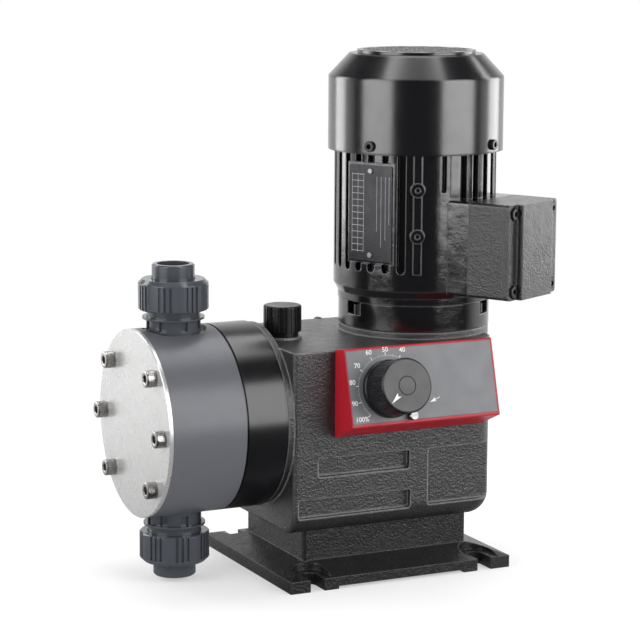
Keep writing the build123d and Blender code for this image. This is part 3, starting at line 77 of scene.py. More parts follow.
class Graph:
    """The node graph of a material or of the world, written as calls that return sockets."""

    noise_roughness = 0.55

    def __init__(self, owner: bpy.types.Material | bpy.types.World) -> None:
        """Start an empty graph.

        Args:
            owner: The material or the world that it belongs to.
        """
        owner.use_nodes = True
        self.owner = owner
        self.tree = owner.node_tree
        self.tree.nodes.clear()
        self.coordinates = self.node("ShaderNodeTexCoord").outputs
        self.place = self.coordinates["Object"]

    def node(self, kind: str, inputs: dict[str, object] | None = None, **settings: object) -> bpy.types.Node:
        """Add a node.

        Args:
            kind: Blender's node type.
            inputs: Values or sockets by input name or number.
            settings: Attributes of the node itself.

        Returns:
            The new node.
        """
        made = self.tree.nodes.new(kind)
        for key, value in settings.items():
            setattr(made, key, value)
        for key, value in (inputs or {}).items():
            if isinstance(value, bpy.types.NodeSocket):
                self.tree.links.new(value, made.inputs[key])
            else:
                made.inputs[key].default_value = value
        return made

    def stretched(self, scale: tuple[float, float, float]) -> Socket:
        """Object coordinates scaled axis by axis."""
        return self.node("ShaderNodeMapping", {"Vector": self.place, "Scale": scale}).outputs[0]

    def noise(self, size: float, detail: float = 2.0, place: Socket | None = None) -> Socket:
        """Smooth noise.

        Args:
            size: The width of one patch in metres.
            detail: How many finer layers are added.
            place: Coordinates, or the object's own.

        Returns:
            A value around one half.
        """
        inputs = {"Vector": place or self.place, "Scale": 1.0 / size, "Detail": detail,
                  "Roughness": self.noise_roughness}
        return self.node("ShaderNodeTexNoise", inputs).outputs[0]

    def math(self, operation: str, *values: object) -> Socket:
        """One arithmetic step on values or sockets."""
        made = self.node("ShaderNodeMath", operation=operation)
        for place, value in enumerate(values):
            if isinstance(value, bpy.types.NodeSocket):
                self.tree.links.new(value, made.inputs[place])
            else:
                made.inputs[place].default_value = value
        return made.outputs[0]

    def spread(self, value: Socket, low: float, high: float, start: float = 0.3, end: float = 0.7) -> Socket:
        """Map a value from start..end to low..high, held at the ends."""
        inputs = {"Value": value, "From Min": start, "From Max": end, "To Min": low, "To Max": high}
        return self.node("ShaderNodeMapRange", inputs).outputs[0]

    def mix(self, share: object, first: object, second: object) -> Socket:
        """Blend two colours.

        Args:
            share: How much of the second colour shows, from 0 to 1.
            first: A colour or a socket.
            second: A colour or a socket.

        Returns:
            The blended colour.
        """
        made = self.node("ShaderNodeMix", data_type="RGBA")
        for place, value in ((0, share), (6, first), (7, second)):
            if isinstance(value, bpy.types.NodeSocket):
                self.tree.links.new(value, made.inputs[place])
            elif place == 0:
                made.inputs[0].default_value = value
            else:
                made.inputs[place].default_value = (*value, 1.0)
        return made.outputs[2]

    def bump(self, height: Socket, depth: float, normal: Socket | None = None) -> Socket:
        """Raise the surface by a height times a depth in metres."""
        inputs = {"Height": height, "Distance": depth, "Strength": 1.0}
        if normal is not None:
            inputs["Normal"] = normal
        return self.node("ShaderNodeBump", inputs).outputs[0]

    def finish(self, shader: bpy.types.Node,
               output: str = "ShaderNodeOutputMaterial") -> bpy.types.Material | bpy.types.World:
        """Connect a shader to the output.

        Args:
            shader: The node whose first output is shown.
            output: Blender's type of the output node.

        Returns:
            The material or the world.
        """
        self.tree.links.new(shader.outputs[0], self.node(output).inputs["Surface"])
        return self.owner


@dataclass(frozen=True)
class Finish:
    """One surface finish: its colour, gloss, skin, and edges paled partly as wear and partly as a painted
    highlight.

    Lengths are in metres. The colour drifts between colour and colour times (1 - mottle), and the edges are
    paled, partly as wear and partly as a painted highlight, where the rounded normal leaves the flat one,
    which is along the edges only.
    """

    name: str
    colour: Colour
    roughness: float
    metallic: float = 0.0
    ior: float = 1.5
    mottle: float = 0.18
    mottle_size: float = 0.012
    rough_drift: float = 0.06
    relief: Relief = Relief.MOULDED
    grain: float = 0.0008
    depth: float = 0.00002
    swell: float = 0.0
    edge_radius: float = 0.0006
    edge_wear_and_highlight: float = 0.0
    axis: tuple[float, float, float] = (0.0, 0.0, 0.0)
    brushed_stretch: tuple[float, float, float] = (0.03, 0.03, 1.0)
    laminated_stretch: tuple[float, float, float] = (0.02, 0.02, 1.0)
    pit_scale: float = 0.6
    pit_share: float = 0.5
    swell_size: float = 0.012
    wear_and_highlight_range: tuple[float, float] = (0.80, 0.99)
    least_wear_and_highlight: float = 0.3

    def skin(self, graph: Graph) -> Socket:
        """The height of the skin.

        Args:
            graph: The material's graph.

        Returns:
            A value around one half.
        """
        if self.relief is Relief.BRUSHED:
            return graph.noise(self.grain, 3.0, graph.stretched(self.brushed_stretch))
        if self.relief is Relief.TURNED:
            middle = tuple(-value * MM for value in self.axis)
            place = graph.node("ShaderNodeMapping", {"Vector": graph.place, "Location": middle}).outputs[0]
            rings = graph.node("ShaderNodeVectorMath", {0: place}, operation="LENGTH").outputs["Value"]
            along = graph.node("ShaderNodeCombineXYZ", {0: rings}).outputs[0]
            return graph.noise(self.grain, 2.0, along)
        if self.relief is Relief.LAMINATED:
            return graph.noise(self.grain, 1.0, graph.stretched(self.laminated_stretch))
        fine = graph.noise(self.grain, 3.0)
        if self.relief is Relief.CAST:
            cells = {"Vector": graph.place, "Scale": self.pit_scale / self.grain}
            pits = graph.node("ShaderNodeTexVoronoi", cells, feature="SMOOTH_F1").outputs["Distance"]
            return graph.math("ADD", fine, graph.math("MULTIPLY", pits, self.pit_share))
        return fine

    def build(self) -> bpy.types.Material:
        """Write the finish as a node material.

        Returns:
            The material.
        """
        graph = Graph(bpy.data.materials.new(self.name))
        drift = graph.noise(self.mottle_size, 4.0)
        dark = tuple(value * (1.0 - self.mottle) for value in self.colour)
        colour = graph.mix(graph.spread(drift, 0.0, 1.0), self.colour, dark)
        skin = self.skin(graph)
        edge = graph.node("ShaderNodeBevel", {"Radius": self.edge_radius}, samples=4).outputs[0]
        # Paler edges: partly wear, partly a painted highlight standing in for the lamps caught along the
        # edges.
        if self.edge_wear_and_highlight > 0.0:
            flat = graph.node("ShaderNodeNewGeometry").outputs["Normal"]
            agreed = graph.node("ShaderNodeVectorMath", {0: edge, 1: flat}, operation="DOT_PRODUCT")
            bent = graph.spread(agreed.outputs["Value"], 1.0, 0.0, *self.wear_and_highlight_range)
            wear_and_highlight = graph.math("MULTIPLY", bent, graph.spread(skin, self.least_wear_and_highlight, 1.0))
            # The paler edge colour: wear and painted highlight together.
            pale = tuple(min(1.0, value + self.edge_wear_and_highlight) for value in self.colour)
            colour = graph.mix(wear_and_highlight, colour, pale)
        rough = graph.spread(drift, self.roughness - self.rough_drift, self.roughness + self.rough_drift)
        normal = graph.bump(skin, self.depth, edge)
        if self.swell > 0.0:
            normal = graph.bump(graph.noise(self.swell_size, 1.0), self.swell, normal)
        values = {"Base Color": colour, "Roughness": rough, "Normal": normal, "Metallic": self.metallic,
                  "IOR": self.ior}
        return graph.finish(graph.node("ShaderNodeBsdfPrincipled", values))


# ---------------------------------------------------------------- finishes of this pump
# The edge tint values below pale the edges: slight wear, and on the casting, motor and box mostly a painted
# highlight where lips and bosses would catch the lamps.
FINISHES: dict[str, Finish] = {
    "black_base": Finish("base_paint", (0.010, 0.010, 0.011), 0.30, ior=1.5, relief=Relief.CAST, grain=0.0014,
                         depth=0.00050, swell=0.0003, edge_radius=0.0012, edge_wear_and_highlight=0.04),
    "black_casting": Finish("housing_paint", (0.018, 0.018, 0.020), 0.32, ior=1.75, relief=Relief.CAST,
                            grain=0.0013, depth=0.00055, swell=0.0003, edge_radius=0.0024, edge_wear_and_highlight=0.24),
    "black_ring": Finish("ring_enamel", (0.006, 0.006, 0.007), 0.22, ior=1.6, relief=Relief.PEEL, grain=0.004,
                         depth=0.000006, edge_radius=0.0005, rough_drift=0.02),
    "black_motor": Finish("motor_paint", (0.005, 0.005, 0.006), 0.13, ior=1.75, relief=Relief.CAST,
                          grain=0.0013, depth=0.00005, swell=0.0002, edge_radius=0.0014, edge_wear_and_highlight=0.14,
                          rough_drift=0.03),
    "black_box": Finish("box_paint", (0.010, 0.010, 0.011), 0.24, ior=1.7, relief=Relief.CAST, grain=0.0011,
                        depth=0.00030, swell=0.0002, edge_radius=0.0012, edge_wear_and_highlight=0.14, rough_drift=0.04),
    "cowl_enamel": Finish("cowl_enamel", (0.004, 0.004, 0.005), 0.20, ior=1.85, relief=Relief.PEEL,
                          grain=0.0012, depth=0.00001, edge_radius=0.0024, rough_drift=0.02),
    "red_housing": Finish("red_gloss", (0.34, 0.010, 0.020), 0.36, ior=1.40, relief=Relief.PEEL, grain=0.002,
                          depth=0.000003, edge_radius=0.0008, edge_wear_and_highlight=0.03, mottle=0.06),
    "grey_scale": Finish("scale_plate", (0.118, 0.120, 0.130), 0.38, relief=Relief.BRUSHED, grain=0.0005,
                         depth=0.000004, mottle=0.05),
    "dark_plate": Finish("type_plate", (0.040, 0.040, 0.045), 0.30, metallic=0.5, relief=Relief.BRUSHED,
                         grain=0.0004, depth=0.000006, edge_radius=0.0003),
    "grey_cap": Finish("knob_face", (0.044, 0.044, 0.046), 0.42, grain=0.0005, depth=0.000008, mottle=0.05),
    "black_plastic": Finish("black_moulding", (0.007, 0.007, 0.008), 0.30, ior=1.40, grain=0.0006,
                            depth=0.00001, edge_radius=0.0005, edge_wear_and_highlight=0.02),
    "board_plastic": Finish("terminal_board", (0.3, 0.06, 0.03), 0.4),
    "grey_head": Finish("grey_polymer", (0.092, 0.095, 0.108), 0.34, ior=1.5, mottle=0.06,
                        relief=Relief.TURNED, grain=0.0007, depth=0.000003, edge_radius=0.0010,
                        axis=(0.0, 0.0, 126.0), rough_drift=0.03),
    "slate_plastic": Finish("slate_pvc", (0.056, 0.062, 0.072), 0.16, ior=1.6, mottle=0.10, grain=0.0008,
                            depth=0.000006, edge_radius=0.0007, edge_wear_and_highlight=0.02, rough_drift=0.03),
    "white_membrane": Finish("membrane_white", (0.74, 0.74, 0.71), 0.45),
    "valve_ball": Finish("ball_ceramic", (0.82, 0.82, 0.80), 0.10, mottle=0.03),
    "seal_rubber": Finish("seal_rubber", (0.016, 0.016, 0.016), 0.60),
    "polished_plate": Finish("blasted_steel", (0.58, 0.58, 0.577), 0.26, metallic=0.6, mottle=0.05,
                             mottle_size=0.02, grain=0.0009, depth=0.000004,
                             edge_radius=0.0004),
    "stainless_screw": Finish("stainless", (0.46, 0.45, 0.44), 0.24, metallic=1.0, mottle=0.15,
                              grain=0.0004, depth=0.000006, edge_radius=0.0003),
    "zinc_screw": Finish("zinc_steel", (0.36, 0.355, 0.35), 0.36, metallic=1.0, mottle=0.15,
                         grain=0.0004, depth=0.000006, edge_radius=0.0003),
    "black_screw": Finish("blackened_steel", (0.018, 0.018, 0.020), 0.28, metallic=0.3, grain=0.0004,
                          depth=0.000006, edge_radius=0.0003, edge_wear_and_highlight=0.03),
    "shaft_steel": Finish("ground_steel", (0.50, 0.50, 0.51), 0.25, metallic=1.0, grain=0.0005),
    "spring_steel": Finish("spring_steel", (0.32, 0.32, 0.33), 0.30, metallic=1.0, grain=0.0005),
    "core_iron": Finish("core_iron", (0.22, 0.21, 0.20), 0.45, metallic=0.8, relief=Relief.LAMINATED,
                        grain=0.0005, depth=0.00004),
    "bronze": Finish("bearing_bronze", (0.55, 0.34, 0.14), 0.30, metallic=1.0, grain=0.0006),
    "white_ink": Finish("white_ink", (0.72, 0.72, 0.70), 0.50, mottle=0.06, grain=0.0003, depth=0.000003,
                        edge_radius=0.0001),
    "grey_ink": Finish("grey_ink", (0.34, 0.34, 0.34), 0.45, mottle=0.10, grain=0.0003, depth=0.000003,
                       edge_radius=0.0001),
}
BOX_NODES = ("terminal_box", "terminal_lid")


# ---------------------------------------------------------------- surfaces worked out as arrays
@dataclass(frozen=True)
class Place:
    """A flat frame of reference: a middle, two directions in the plane and one out of it."""

    middle: tuple[float, float, float]
    across: tuple[float, float, float]
    upward: tuple[float, float, float]
    outward: tuple[float, float, float]

    def at(self, x: Array | float, y: Array | float, z: Array | float) -> Array:
        """Points of the frame: middle + x across + y upward + z outward.

        Args:
            x: Distances across.
            y: Distances upward.
            z: Distances outward.

        Returns:
            An array of the same shape with three coordinates added.
        """
        x, y, z = np.broadcast_arrays(np.asarray(x, float), np.asarray(y, float), np.asarray(z, float))
        axes = np.array((self.across, self.upward, self.outward))
        return np.array(self.middle) + np.stack((x, y, z), axis=-1) @ axes

    def turned(self, radius: Array, angle: Array, rise: Array) -> Array:
        """Points round the middle: x = r cos a, y = r sin a, z = rise.

        Args:
            radius: Distances from the middle.
            angle: Angles in radians from the across direction.
            rise: Distances outward.

        Returns:
            An array of points, broadcast from the three.
        """
        return self.at(radius * np.cos(angle), radius * np.sin(angle), rise)


class Shell:
    """A mesh gathered from grids of points in millimetres."""

    def __init__(self, name: str) -> None:
        """Start an empty mesh.

        Args:
            name: The piece's name.
        """
        self.name = name
        self.points: list[Array] = []
        self.faces: list[Array] = []
        self.count = 0

    def add(self, grid: Array) -> None:
        """Add a grid closed across its columns.

        The face between rows i and i + 1 and columns j and j + 1 joins the four points there, and the
        last column meets the first. A row of equal points closes an end.

        Args:
            grid: Points of shape (rows, columns, 3).
        """
        rows, columns = grid.shape[:2]
        index = np.arange(rows * columns).reshape(rows, columns) + self.count
        index = np.concatenate((index, index[:, :1]), axis=1)
        corners = (index[:-1, :-1], index[1:, :-1], index[1:, 1:], index[:-1, 1:])
        self.points.append(grid.reshape(-1, 3))
        self.faces.append(np.stack(corners, axis=-1).reshape(-1, 4))
        self.count += rows * columns

    def add_tablet(self, place: Place, corners: Array, low: float, high: float) -> None:
        """Add a flat tablet: an outline of corners raised from low to high and closed at both ends.

        Args:
            place: The frame it lies in.
            corners: Corner points of shape (n, 2), seen whole from their own middle.
            low: Height of its underside.
            high: Height of its face.
        """
        middle = np.broadcast_to(corners.mean(axis=0), corners.shape)
        outline = np.stack((middle, corners, corners, middle))
        heights = np.array((low, low, high, high))[:, None]
        self.add(place.at(outline[..., 0], outline[..., 1], heights))

    def add_bars(self, place: Place, starts: Array, ends: Array, width: float, low: float,
                 high: float) -> None:
        """Add straight bars: each is its middle line moved half a width to either side.

        Args:
            place: The frame they lie in.
            starts: Start points of shape (n, 2).
            ends: End points of shape (n, 2).
            width: Width of every bar.
            low: Height of their undersides.
            high: Height of their faces.
        """
        along = ends - starts
        along = along / np.linalg.norm(along, axis=1, keepdims=True)
        side = np.stack((-along[:, 1], along[:, 0]), axis=1) * width / 2
        for corners in np.stack((starts - side, ends - side, ends + side, starts + side), axis=1):
            self.add_tablet(place, corners, low, high)

    def build(self, body: str, slot: str, finish: bpy.types.Material) -> bpy.types.Object:
        """Write the mesh, close its seams and poles, and let it ride on a body.

        Args:
            body: The CAD body that it moves with.
            slot: The record's material slot; not used.
            finish: Its material.

        Returns:
            The new object.
        """
        mesh = bpy.data.meshes.new(self.name)
        mesh.from_pydata((np.concatenate(self.points) * MM).tolist(), [], np.concatenate(self.faces).tolist())
        return finished(mesh, self.name, body, finish)


def finished(mesh: bpy.types.Mesh, name: str, body: str,
             finish: bpy.types.Material) -> bpy.types.Object:
    """Merge a mesh's doubles, turn its faces outward and let it ride on a body.

    Args:
        mesh: The mesh, in metres.
        name: The piece's name.
        body: The CAD body that it moves with.
        finish: Its material.

    Returns:
        The new object.
    """
    work = bmesh.new()
    work.from_mesh(mesh)
    bmesh.ops.remove_doubles(work, verts=work.verts, dist=MERGE_DISTANCE)
    bmesh.ops.recalc_face_normals(work, faces=work.faces)
    work.to_mesh(mesh)
    work.free()
    mesh.polygons.foreach_set("use_smooth", np.ones(len(mesh.polygons), bool))
    mesh.set_sharp_from_angle(angle=float(np.radians(SHARP_ANGLE)))
    mesh.materials.append(finish)
    piece = bpy.data.objects.new(name, mesh)
    bpy.context.scene.collection.objects.link(piece)
    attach(piece, body)
    LOG.info("%s: %d faces on %s", name, len(mesh.polygons), body)
    return piece


def drawn(work: bmesh.types.BMesh, curve: bpy.types.Curve, place: Place, x: float, y: float,
          middle: float) -> None:
    """Turn a filled flat curve into mesh and add it in a plane.

    Args:
        work: The mesh it is added to.
        curve: The curve, which is used up.
        place: The frame it lies in.
        x: Its place across.
        y: Its place upward.
        middle: The height of its own middle.
    """
    shown = bpy.data.objects.new("drawn", curve)
    bpy.context.scene.collection.objects.link(shown)
    graph = bpy.context.evaluated_depsgraph_get()
    mesh = bpy.data.meshes.new_from_object(shown.evaluated_get(graph))
    flat = np.empty(len(mesh.vertices) * 3)
    mesh.vertices.foreach_get("co", flat)
    flat = flat.reshape(-1, 3)
    moved = place.at(flat[:, 0] + x, flat[:, 1] + y, flat[:, 2] + middle) * MM
    mesh.vertices.foreach_set("co", moved.ravel())
    work.from_mesh(mesh)
    bpy.data.objects.remove(shown)
    bpy.data.curves.remove(curve)
    bpy.data.meshes.remove(mesh)


def written(work: bmesh.types.BMesh, name: str) -> bpy.types.Mesh:
    """Write a working mesh out.

    Args:
        work: The working mesh, which is used up.
        name: The new mesh's name.

    Returns:
        The new mesh.
    """
    whole = bpy.data.meshes.new(name)
    work.to_mesh(whole)
    work.free()
    return whole


def lettering(words: tuple[tuple[str, float, float], ...], place: Place, size: float, low: float,
              thick: float, boldness: float = 0.06, steps: int = 4) -> bpy.types.Mesh:
    """Raised numbers as one mesh.

    Args:
        words: Each number with the place of its middle.
        place: The frame they lie in.
        size: Height of the type.
        low: Height of their undersides.
        thick: How far they stand up.
        boldness: How far each outline is moved outward.
        steps: Points on each curved stretch of an outline.

    Returns:
        The mesh, in metres in the model's own frame.
    """
    work = bmesh.new()
    for word, x, y in words:
        curve = bpy.data.curves.new("number", "FONT")
        curve.body = word
        curve.size = size
        curve.align_x = "CENTER"
        curve.align_y = "CENTER"
        curve.extrude = thick / 2
        curve.resolution_u = steps
        curve.offset = boldness
        drawn(work, curve, place, x, y, low + thick / 2)
    return written(work, "numbers")


def pierced_sheet(outlines: list[Array], place: Place, low: float, high: float) -> bpy.types.Mesh:
    """A flat sheet with openings.

    Args:
        outlines: The outer outline and one outline for each opening, each of shape (n, 2).
        place: The frame it lies in.
        low: Height of its underside.
        high: Height of its face.

    Returns:
        The mesh, in metres in the model's own frame.
    """
    curve = bpy.data.curves.new("sheet", "CURVE")
    curve.dimensions = "2D"
    curve.fill_mode = "BOTH"
    curve.extrude = (high - low) / 2
    for outline in outlines:
        line = curve.splines.new("POLY")
        line.points.add(len(outline) - 1)
        ends = np.zeros((len(outline), 2)) + (0.0, 1.0)
        line.points.foreach_set("co", np.concatenate((outline, ends), axis=1).ravel())
        line.use_cyclic_u = True
    work = bmesh.new()
    drawn(work, curve, place, 0.0, 0.0, (low + high) / 2)
    return written(work, "sheet")


# ---------------------------------------------------------------- sub-assemblies
@dataclass
class LiquidEnd:
    """The head bolts, with their knurled heads and hexagon sockets."""

    axis_height: float = 126.0
    plate_front: float = -191.0
    circle: float = 60.5
    angles: tuple[float, ...] = (0, 45, 135, 180, 225, 315)
    shank_end: float = -107.0
    shank_radius: float = 4.0
    head_radius: float = 6.5
    head_height: float = 8.0
    key_radius: float = 3.4
    key_depth: float = 4.0
    knurls: int = 36
    knurl_depth: float = 0.22
    tip_radius: float = 3.5
    tip_taper: float = 0.5
    seat_gap: float = 0.02
    foot_bevel: float = 0.3
    knurl_band: tuple[float, float, float, float] = (0.9, 1.3, 6.3, 6.8)
    crown: tuple[tuple[float, float], ...] = ((7.4, 0.0), (7.8, 0.25), (8.0, 0.7))
    socket_lip: tuple[float, float] = (0.35, 0.25)
    drill_cone: float = 0.9

    def bolt(self, angle: float) -> Array:
        """One bolt, a profile turned about its own axis.

        The radius is r, less d (1 + cos 36 a) / 2 where the head is knurled. In the socket it is the
        hexagon k cos 30 / cos((a mod 60) - 30).

        Args:
            angle: Its place on the circle of bolts, in degrees.

        Returns:
            Points of shape (rows, columns, 3).
        """
        plain, knurled, hexagonal = range(3)
        full, key, gap = self.head_radius, self.key_radius, self.seat_gap
        start, grown, fading, end = self.knurl_band
        lip_width, lip_depth = self.socket_lip
        floor = self.head_height - self.key_depth
        crown = [(rise, full - inset, plain) for rise, inset in self.crown]
        rows = np.array((
            (self.shank_end, 0, plain), (self.shank_end, self.tip_radius, plain),
            (self.shank_end + self.tip_taper, self.shank_radius, plain), (gap, self.shank_radius, plain),
            (gap, full - self.foot_bevel, plain), (self.foot_bevel, full, plain), (start, full, plain),
            (grown, full, knurled), (fading, full, knurled), (end, full, plain), *crown,
            (self.head_height, key + lip_width, plain), (self.head_height - lip_depth, key, hexagonal),
            (floor, key, hexagonal), (floor - self.drill_cone, 0, plain)))
        turn = np.linspace(0.0, 2 * np.pi, 4 * self.knurls, endpoint=False)
        rise, radius, kind = (rows[:, column, None] for column in range(3))
        knurl = self.knurl_depth * (1 + np.cos(self.knurls * turn)) / 2
        hexagon = np.cos(np.pi / 6) / np.cos(np.mod(turn, np.pi / 3) - np.pi / 6)
        radius = radius - (kind == knurled) * knurl
        radius = np.where(kind == hexagonal, radius * hexagon, radius)
        lean = np.radians(angle)
        middle = (self.plate_front, self.circle * np.cos(lean), self.axis_height + self.circle * np.sin(lean))
        place = Place(middle, (0, 0, 1), (0, 1, 0), (-1, 0, 0))
        return place.turned(radius, turn + lean, rise + 0 * turn)

    def build(self, finishes: dict[str, bpy.types.Material]) -> None:
        """Make the six bolts as one piece that stands for the CAD's.

        Args:
            finishes: The materials by slot name.
        """
        shell = Shell("knurled_head_bolts")
        for angle in self.angles:
            shell.add(self.bolt(angle))
        piece = shell.build("pump", "stainless_screw", finishes["stainless_screw"])
        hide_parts("head_bolts")


@dataclass
class StrokeDial:
    """The printed scale, the knob's face with its pointer, and the mark beside the lock screw."""

    knob_x: float = -19.3
    knob_z: float = 155.6
    top_y: float = -84.0
    top_z: float = 187.3
    fall: float = 16.0
    drop: float = 58.1
    ink: float = 0.05
    numbers: tuple[tuple[str, float, float], ...] = (
        ("100%", -25.4, -21.3), ("90", -30.2, -8.9), ("80", -30.4, 7.2), ("70", -24.8, 19.6),
        ("60", -13.9, 29.0), ("50", 0.2, 30.2), ("40", 14.9, 29.0))
    number_size: float = 5.2
    scale_start: float = 225.0
    scale_end: float = 36.0
    scale_step: float = 27.0
    scale_radius: float = 25.4
    minor_tick: tuple[float, float] = (0.9, 0.24)
    middle_tick: tuple[float, float] = (1.5, 0.28)
    major_tick: tuple[float, float] = (2.7, 0.62)
    cap_radius: float = 19.8
    cap_face: float = 30.66
    cap_low: float = 29.3
    plate_x: tuple[float, float] = (-33.2, 92.0)
    plate_rise: tuple[float, float] = (-24.8, 31.1)
    plate_thick: float = 0.3
    plate_gap: float = 0.02
    bush_hole: float = 7.5
    lock_hole: float = 3.0
    lock_middle: tuple[float, float] = (16.0, -22.1)
    ring_radius: float = 7.0
    ring_half: float = 0.25
    ring_depth: float = 0.5
    ring_lip: float = 0.07
    ring_bevel: float = 0.1
    cap_bevel: float = 0.3
    groove_shade_half: float = 0.23
    groove_shade_rise: tuple[float, float] = (-0.48, -0.3)
    pointer: tuple[tuple[float, float], ...] = ((-14.6, -12.6), (-5.9, -7.9), (-8.6, -7.6), (-8.7, -4.9))
    arrow_tail: tuple[float, float] = (42.6, -9.5)
    arrow_tip: tuple[float, float] = (33.9, -12.7)
    arrow_head: float = 5.0
    arrow_overlap: float = 1.0
    arrow_half: float = 1.5
    arrow_line: float = 0.45

    def place(self) -> Place:
        """The plane of the scale plate, with the knob's axis at its middle."""
        lean = np.arctan2(self.fall, self.drop)
        y = self.top_y - (self.top_z - self.knob_z) * self.fall / self.drop
        up = (0.0, float(np.sin(lean)), float(np.cos(lean)))
        out = (0.0, float(-np.cos(lean)), float(np.sin(lean)))
        return Place((self.knob_x, float(y), self.knob_z), (1.0, 0.0, 0.0), up, out)

    @property
    def ink_rise(self) -> tuple[float, float]:
        """Heights of the underside and the face of what is printed on the plate."""
        return self.plate_thick, self.plate_thick + self.ink

    def plate(self, finish: bpy.types.Material) -> None:
        """The scale plate: a thin sheet that lies on the sloped face and leaves a narrow red rim.

        Args:
            finish: The plate's material.
        """
        left, right = self.plate_x
        low, high = self.plate_rise
        turn = np.linspace(0.0, 2 * np.pi, COARSE_TURN, endpoint=False)
        circle = np.stack((np.cos(turn), np.sin(turn)), axis=1)
        corners = np.array(((left, low), (right, low), (right, high), (left, high)))
        outlines = [corners, circle * self.bush_hole, circle * self.lock_hole + self.lock_middle]
        mesh = pierced_sheet(outlines, self.place(), self.plate_gap, self.plate_thick)
        piece = finished(mesh, "scale_plate", "pump", finish)
        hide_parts("dial_plate")

    def scale(self, finish: bpy.types.Material) -> None:
        """The ticks: radial bars, one for each hundredth of the stroke and longer ones for fives and tens.

        Args:
            finish: The ink.
        """
        place = self.place()
        shell = Shell("scale_ticks")
        end = self.scale_end - 0.1  # a little past the last tick, so that it is kept
        minor = np.radians(np.arange(self.scale_start, end, -self.scale_step / 10))
        major = np.radians(np.arange(self.scale_start, end, -self.scale_step))
        rows = ((minor, self.minor_tick), (minor[::5], self.middle_tick), (major, self.major_tick))
        for angles, (reach, width) in rows:
            along = np.stack((np.cos(angles), np.sin(angles)), axis=1)
            inner, outer = along * self.scale_radius, along * (self.scale_radius + reach)
            shell.add_bars(place, inner, outer, width, *self.ink_rise)
        shell.build("pump", "grey_scale", finish)
        mesh = lettering(self.numbers, place, self.number_size, self.plate_thick, self.ink)
        finished(mesh, "scale_numbers", "pump", finish)

    def arrow(self, finish: bpy.types.Material) -> None:
        """The arrow beside the knob: a thin shaft and a three-cornered head.

        Args:
            finish: The ink.
        """
        place = self.place()
        tail, tip = np.array(self.arrow_tail), np.array(self.arrow_tip)
        along = (tip - tail) / np.linalg.norm(tip - tail)
        side = self.arrow_half * np.array((-along[1], along[0]))
        neck = tip - self.arrow_head * along
        shaft_end = neck + self.arrow_overlap * along
        shell = Shell("lock_arrow")
        shell.add_bars(place, tail[None], shaft_end[None], self.arrow_line, *self.ink_rise)
        shell.add_tablet(place, np.array((tip, neck + side, neck - side)), *self.ink_rise)
        shell.build("pump", "grey_scale", finish)

    def cap(self, face: bpy.types.Material, ink: bpy.types.Material, dark: bpy.types.Material) -> None:
        """The knob's face: a turned disc with a sunk ring darkened by a black band of painted shade, and the
        dart that points to the scale.

        Args:
            face: The face's material.
            ink: The dart's.
            dark: That of the black band of painted shade in the ring.
        """
        place = self.place()
        ring, edge, low, high = self.ring_radius, self.cap_radius, self.cap_low, self.cap_face
        half, sunk, bevel = self.ring_half, high - self.ring_depth, high - self.ring_bevel
        rows = np.array((
            (0.0, low), (edge, low), (edge, high - self.cap_bevel), (edge - self.cap_bevel, high),
            (ring + half + self.ring_lip, high), (ring + half, bevel), (ring + half, sunk),
            (ring - half, sunk), (ring - half, bevel), (ring - half - self.ring_lip, high), (0.0, high)))
        turn = np.linspace(0.0, 2 * np.pi, FINE_TURN, endpoint=False)
        shell = Shell("knob_face")
        shell.add(place.turned(rows[:, 0, None], turn, rows[:, 1, None] + 0 * turn))
        piece = shell.build("knob", "grey_cap", face)
        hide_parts("knob_cap")
        # A black band laid in the sunk ring: painted shade standing for the groove's own shadow.
        half, (low, top) = self.groove_shade_half, self.groove_shade_rise
        rows = np.array(((-half, low), (half, low), (half, top), (-half, top)))
        line = Shell("knob_groove_painted_shade")
        grid = place.turned(ring + rows[:, 0, None], turn, high + rows[:, 1, None] + 0 * turn)
        line.add(grid.transpose(1, 0, 2)[np.r_[0:FINE_TURN, 0]])
        line.build("knob", "black_plastic", dark)
        dart = Shell("knob_pointer")
        dart.add_tablet(place, np.array(self.pointer), high, high + self.ink)
        dart.build("knob", "grey_cap", ink)

    def build(self, finishes: dict[str, bpy.types.Material]) -> None:
        """Make the dial's own pieces.

        Args:
            finishes: The materials by slot name.
        """
        ink = finishes["white_ink"]
        self.plate(finishes["grey_scale"])
        self.scale(ink)
        self.arrow(ink)
        self.cap(finishes["grey_cap"], ink, finishes["black_plastic"])


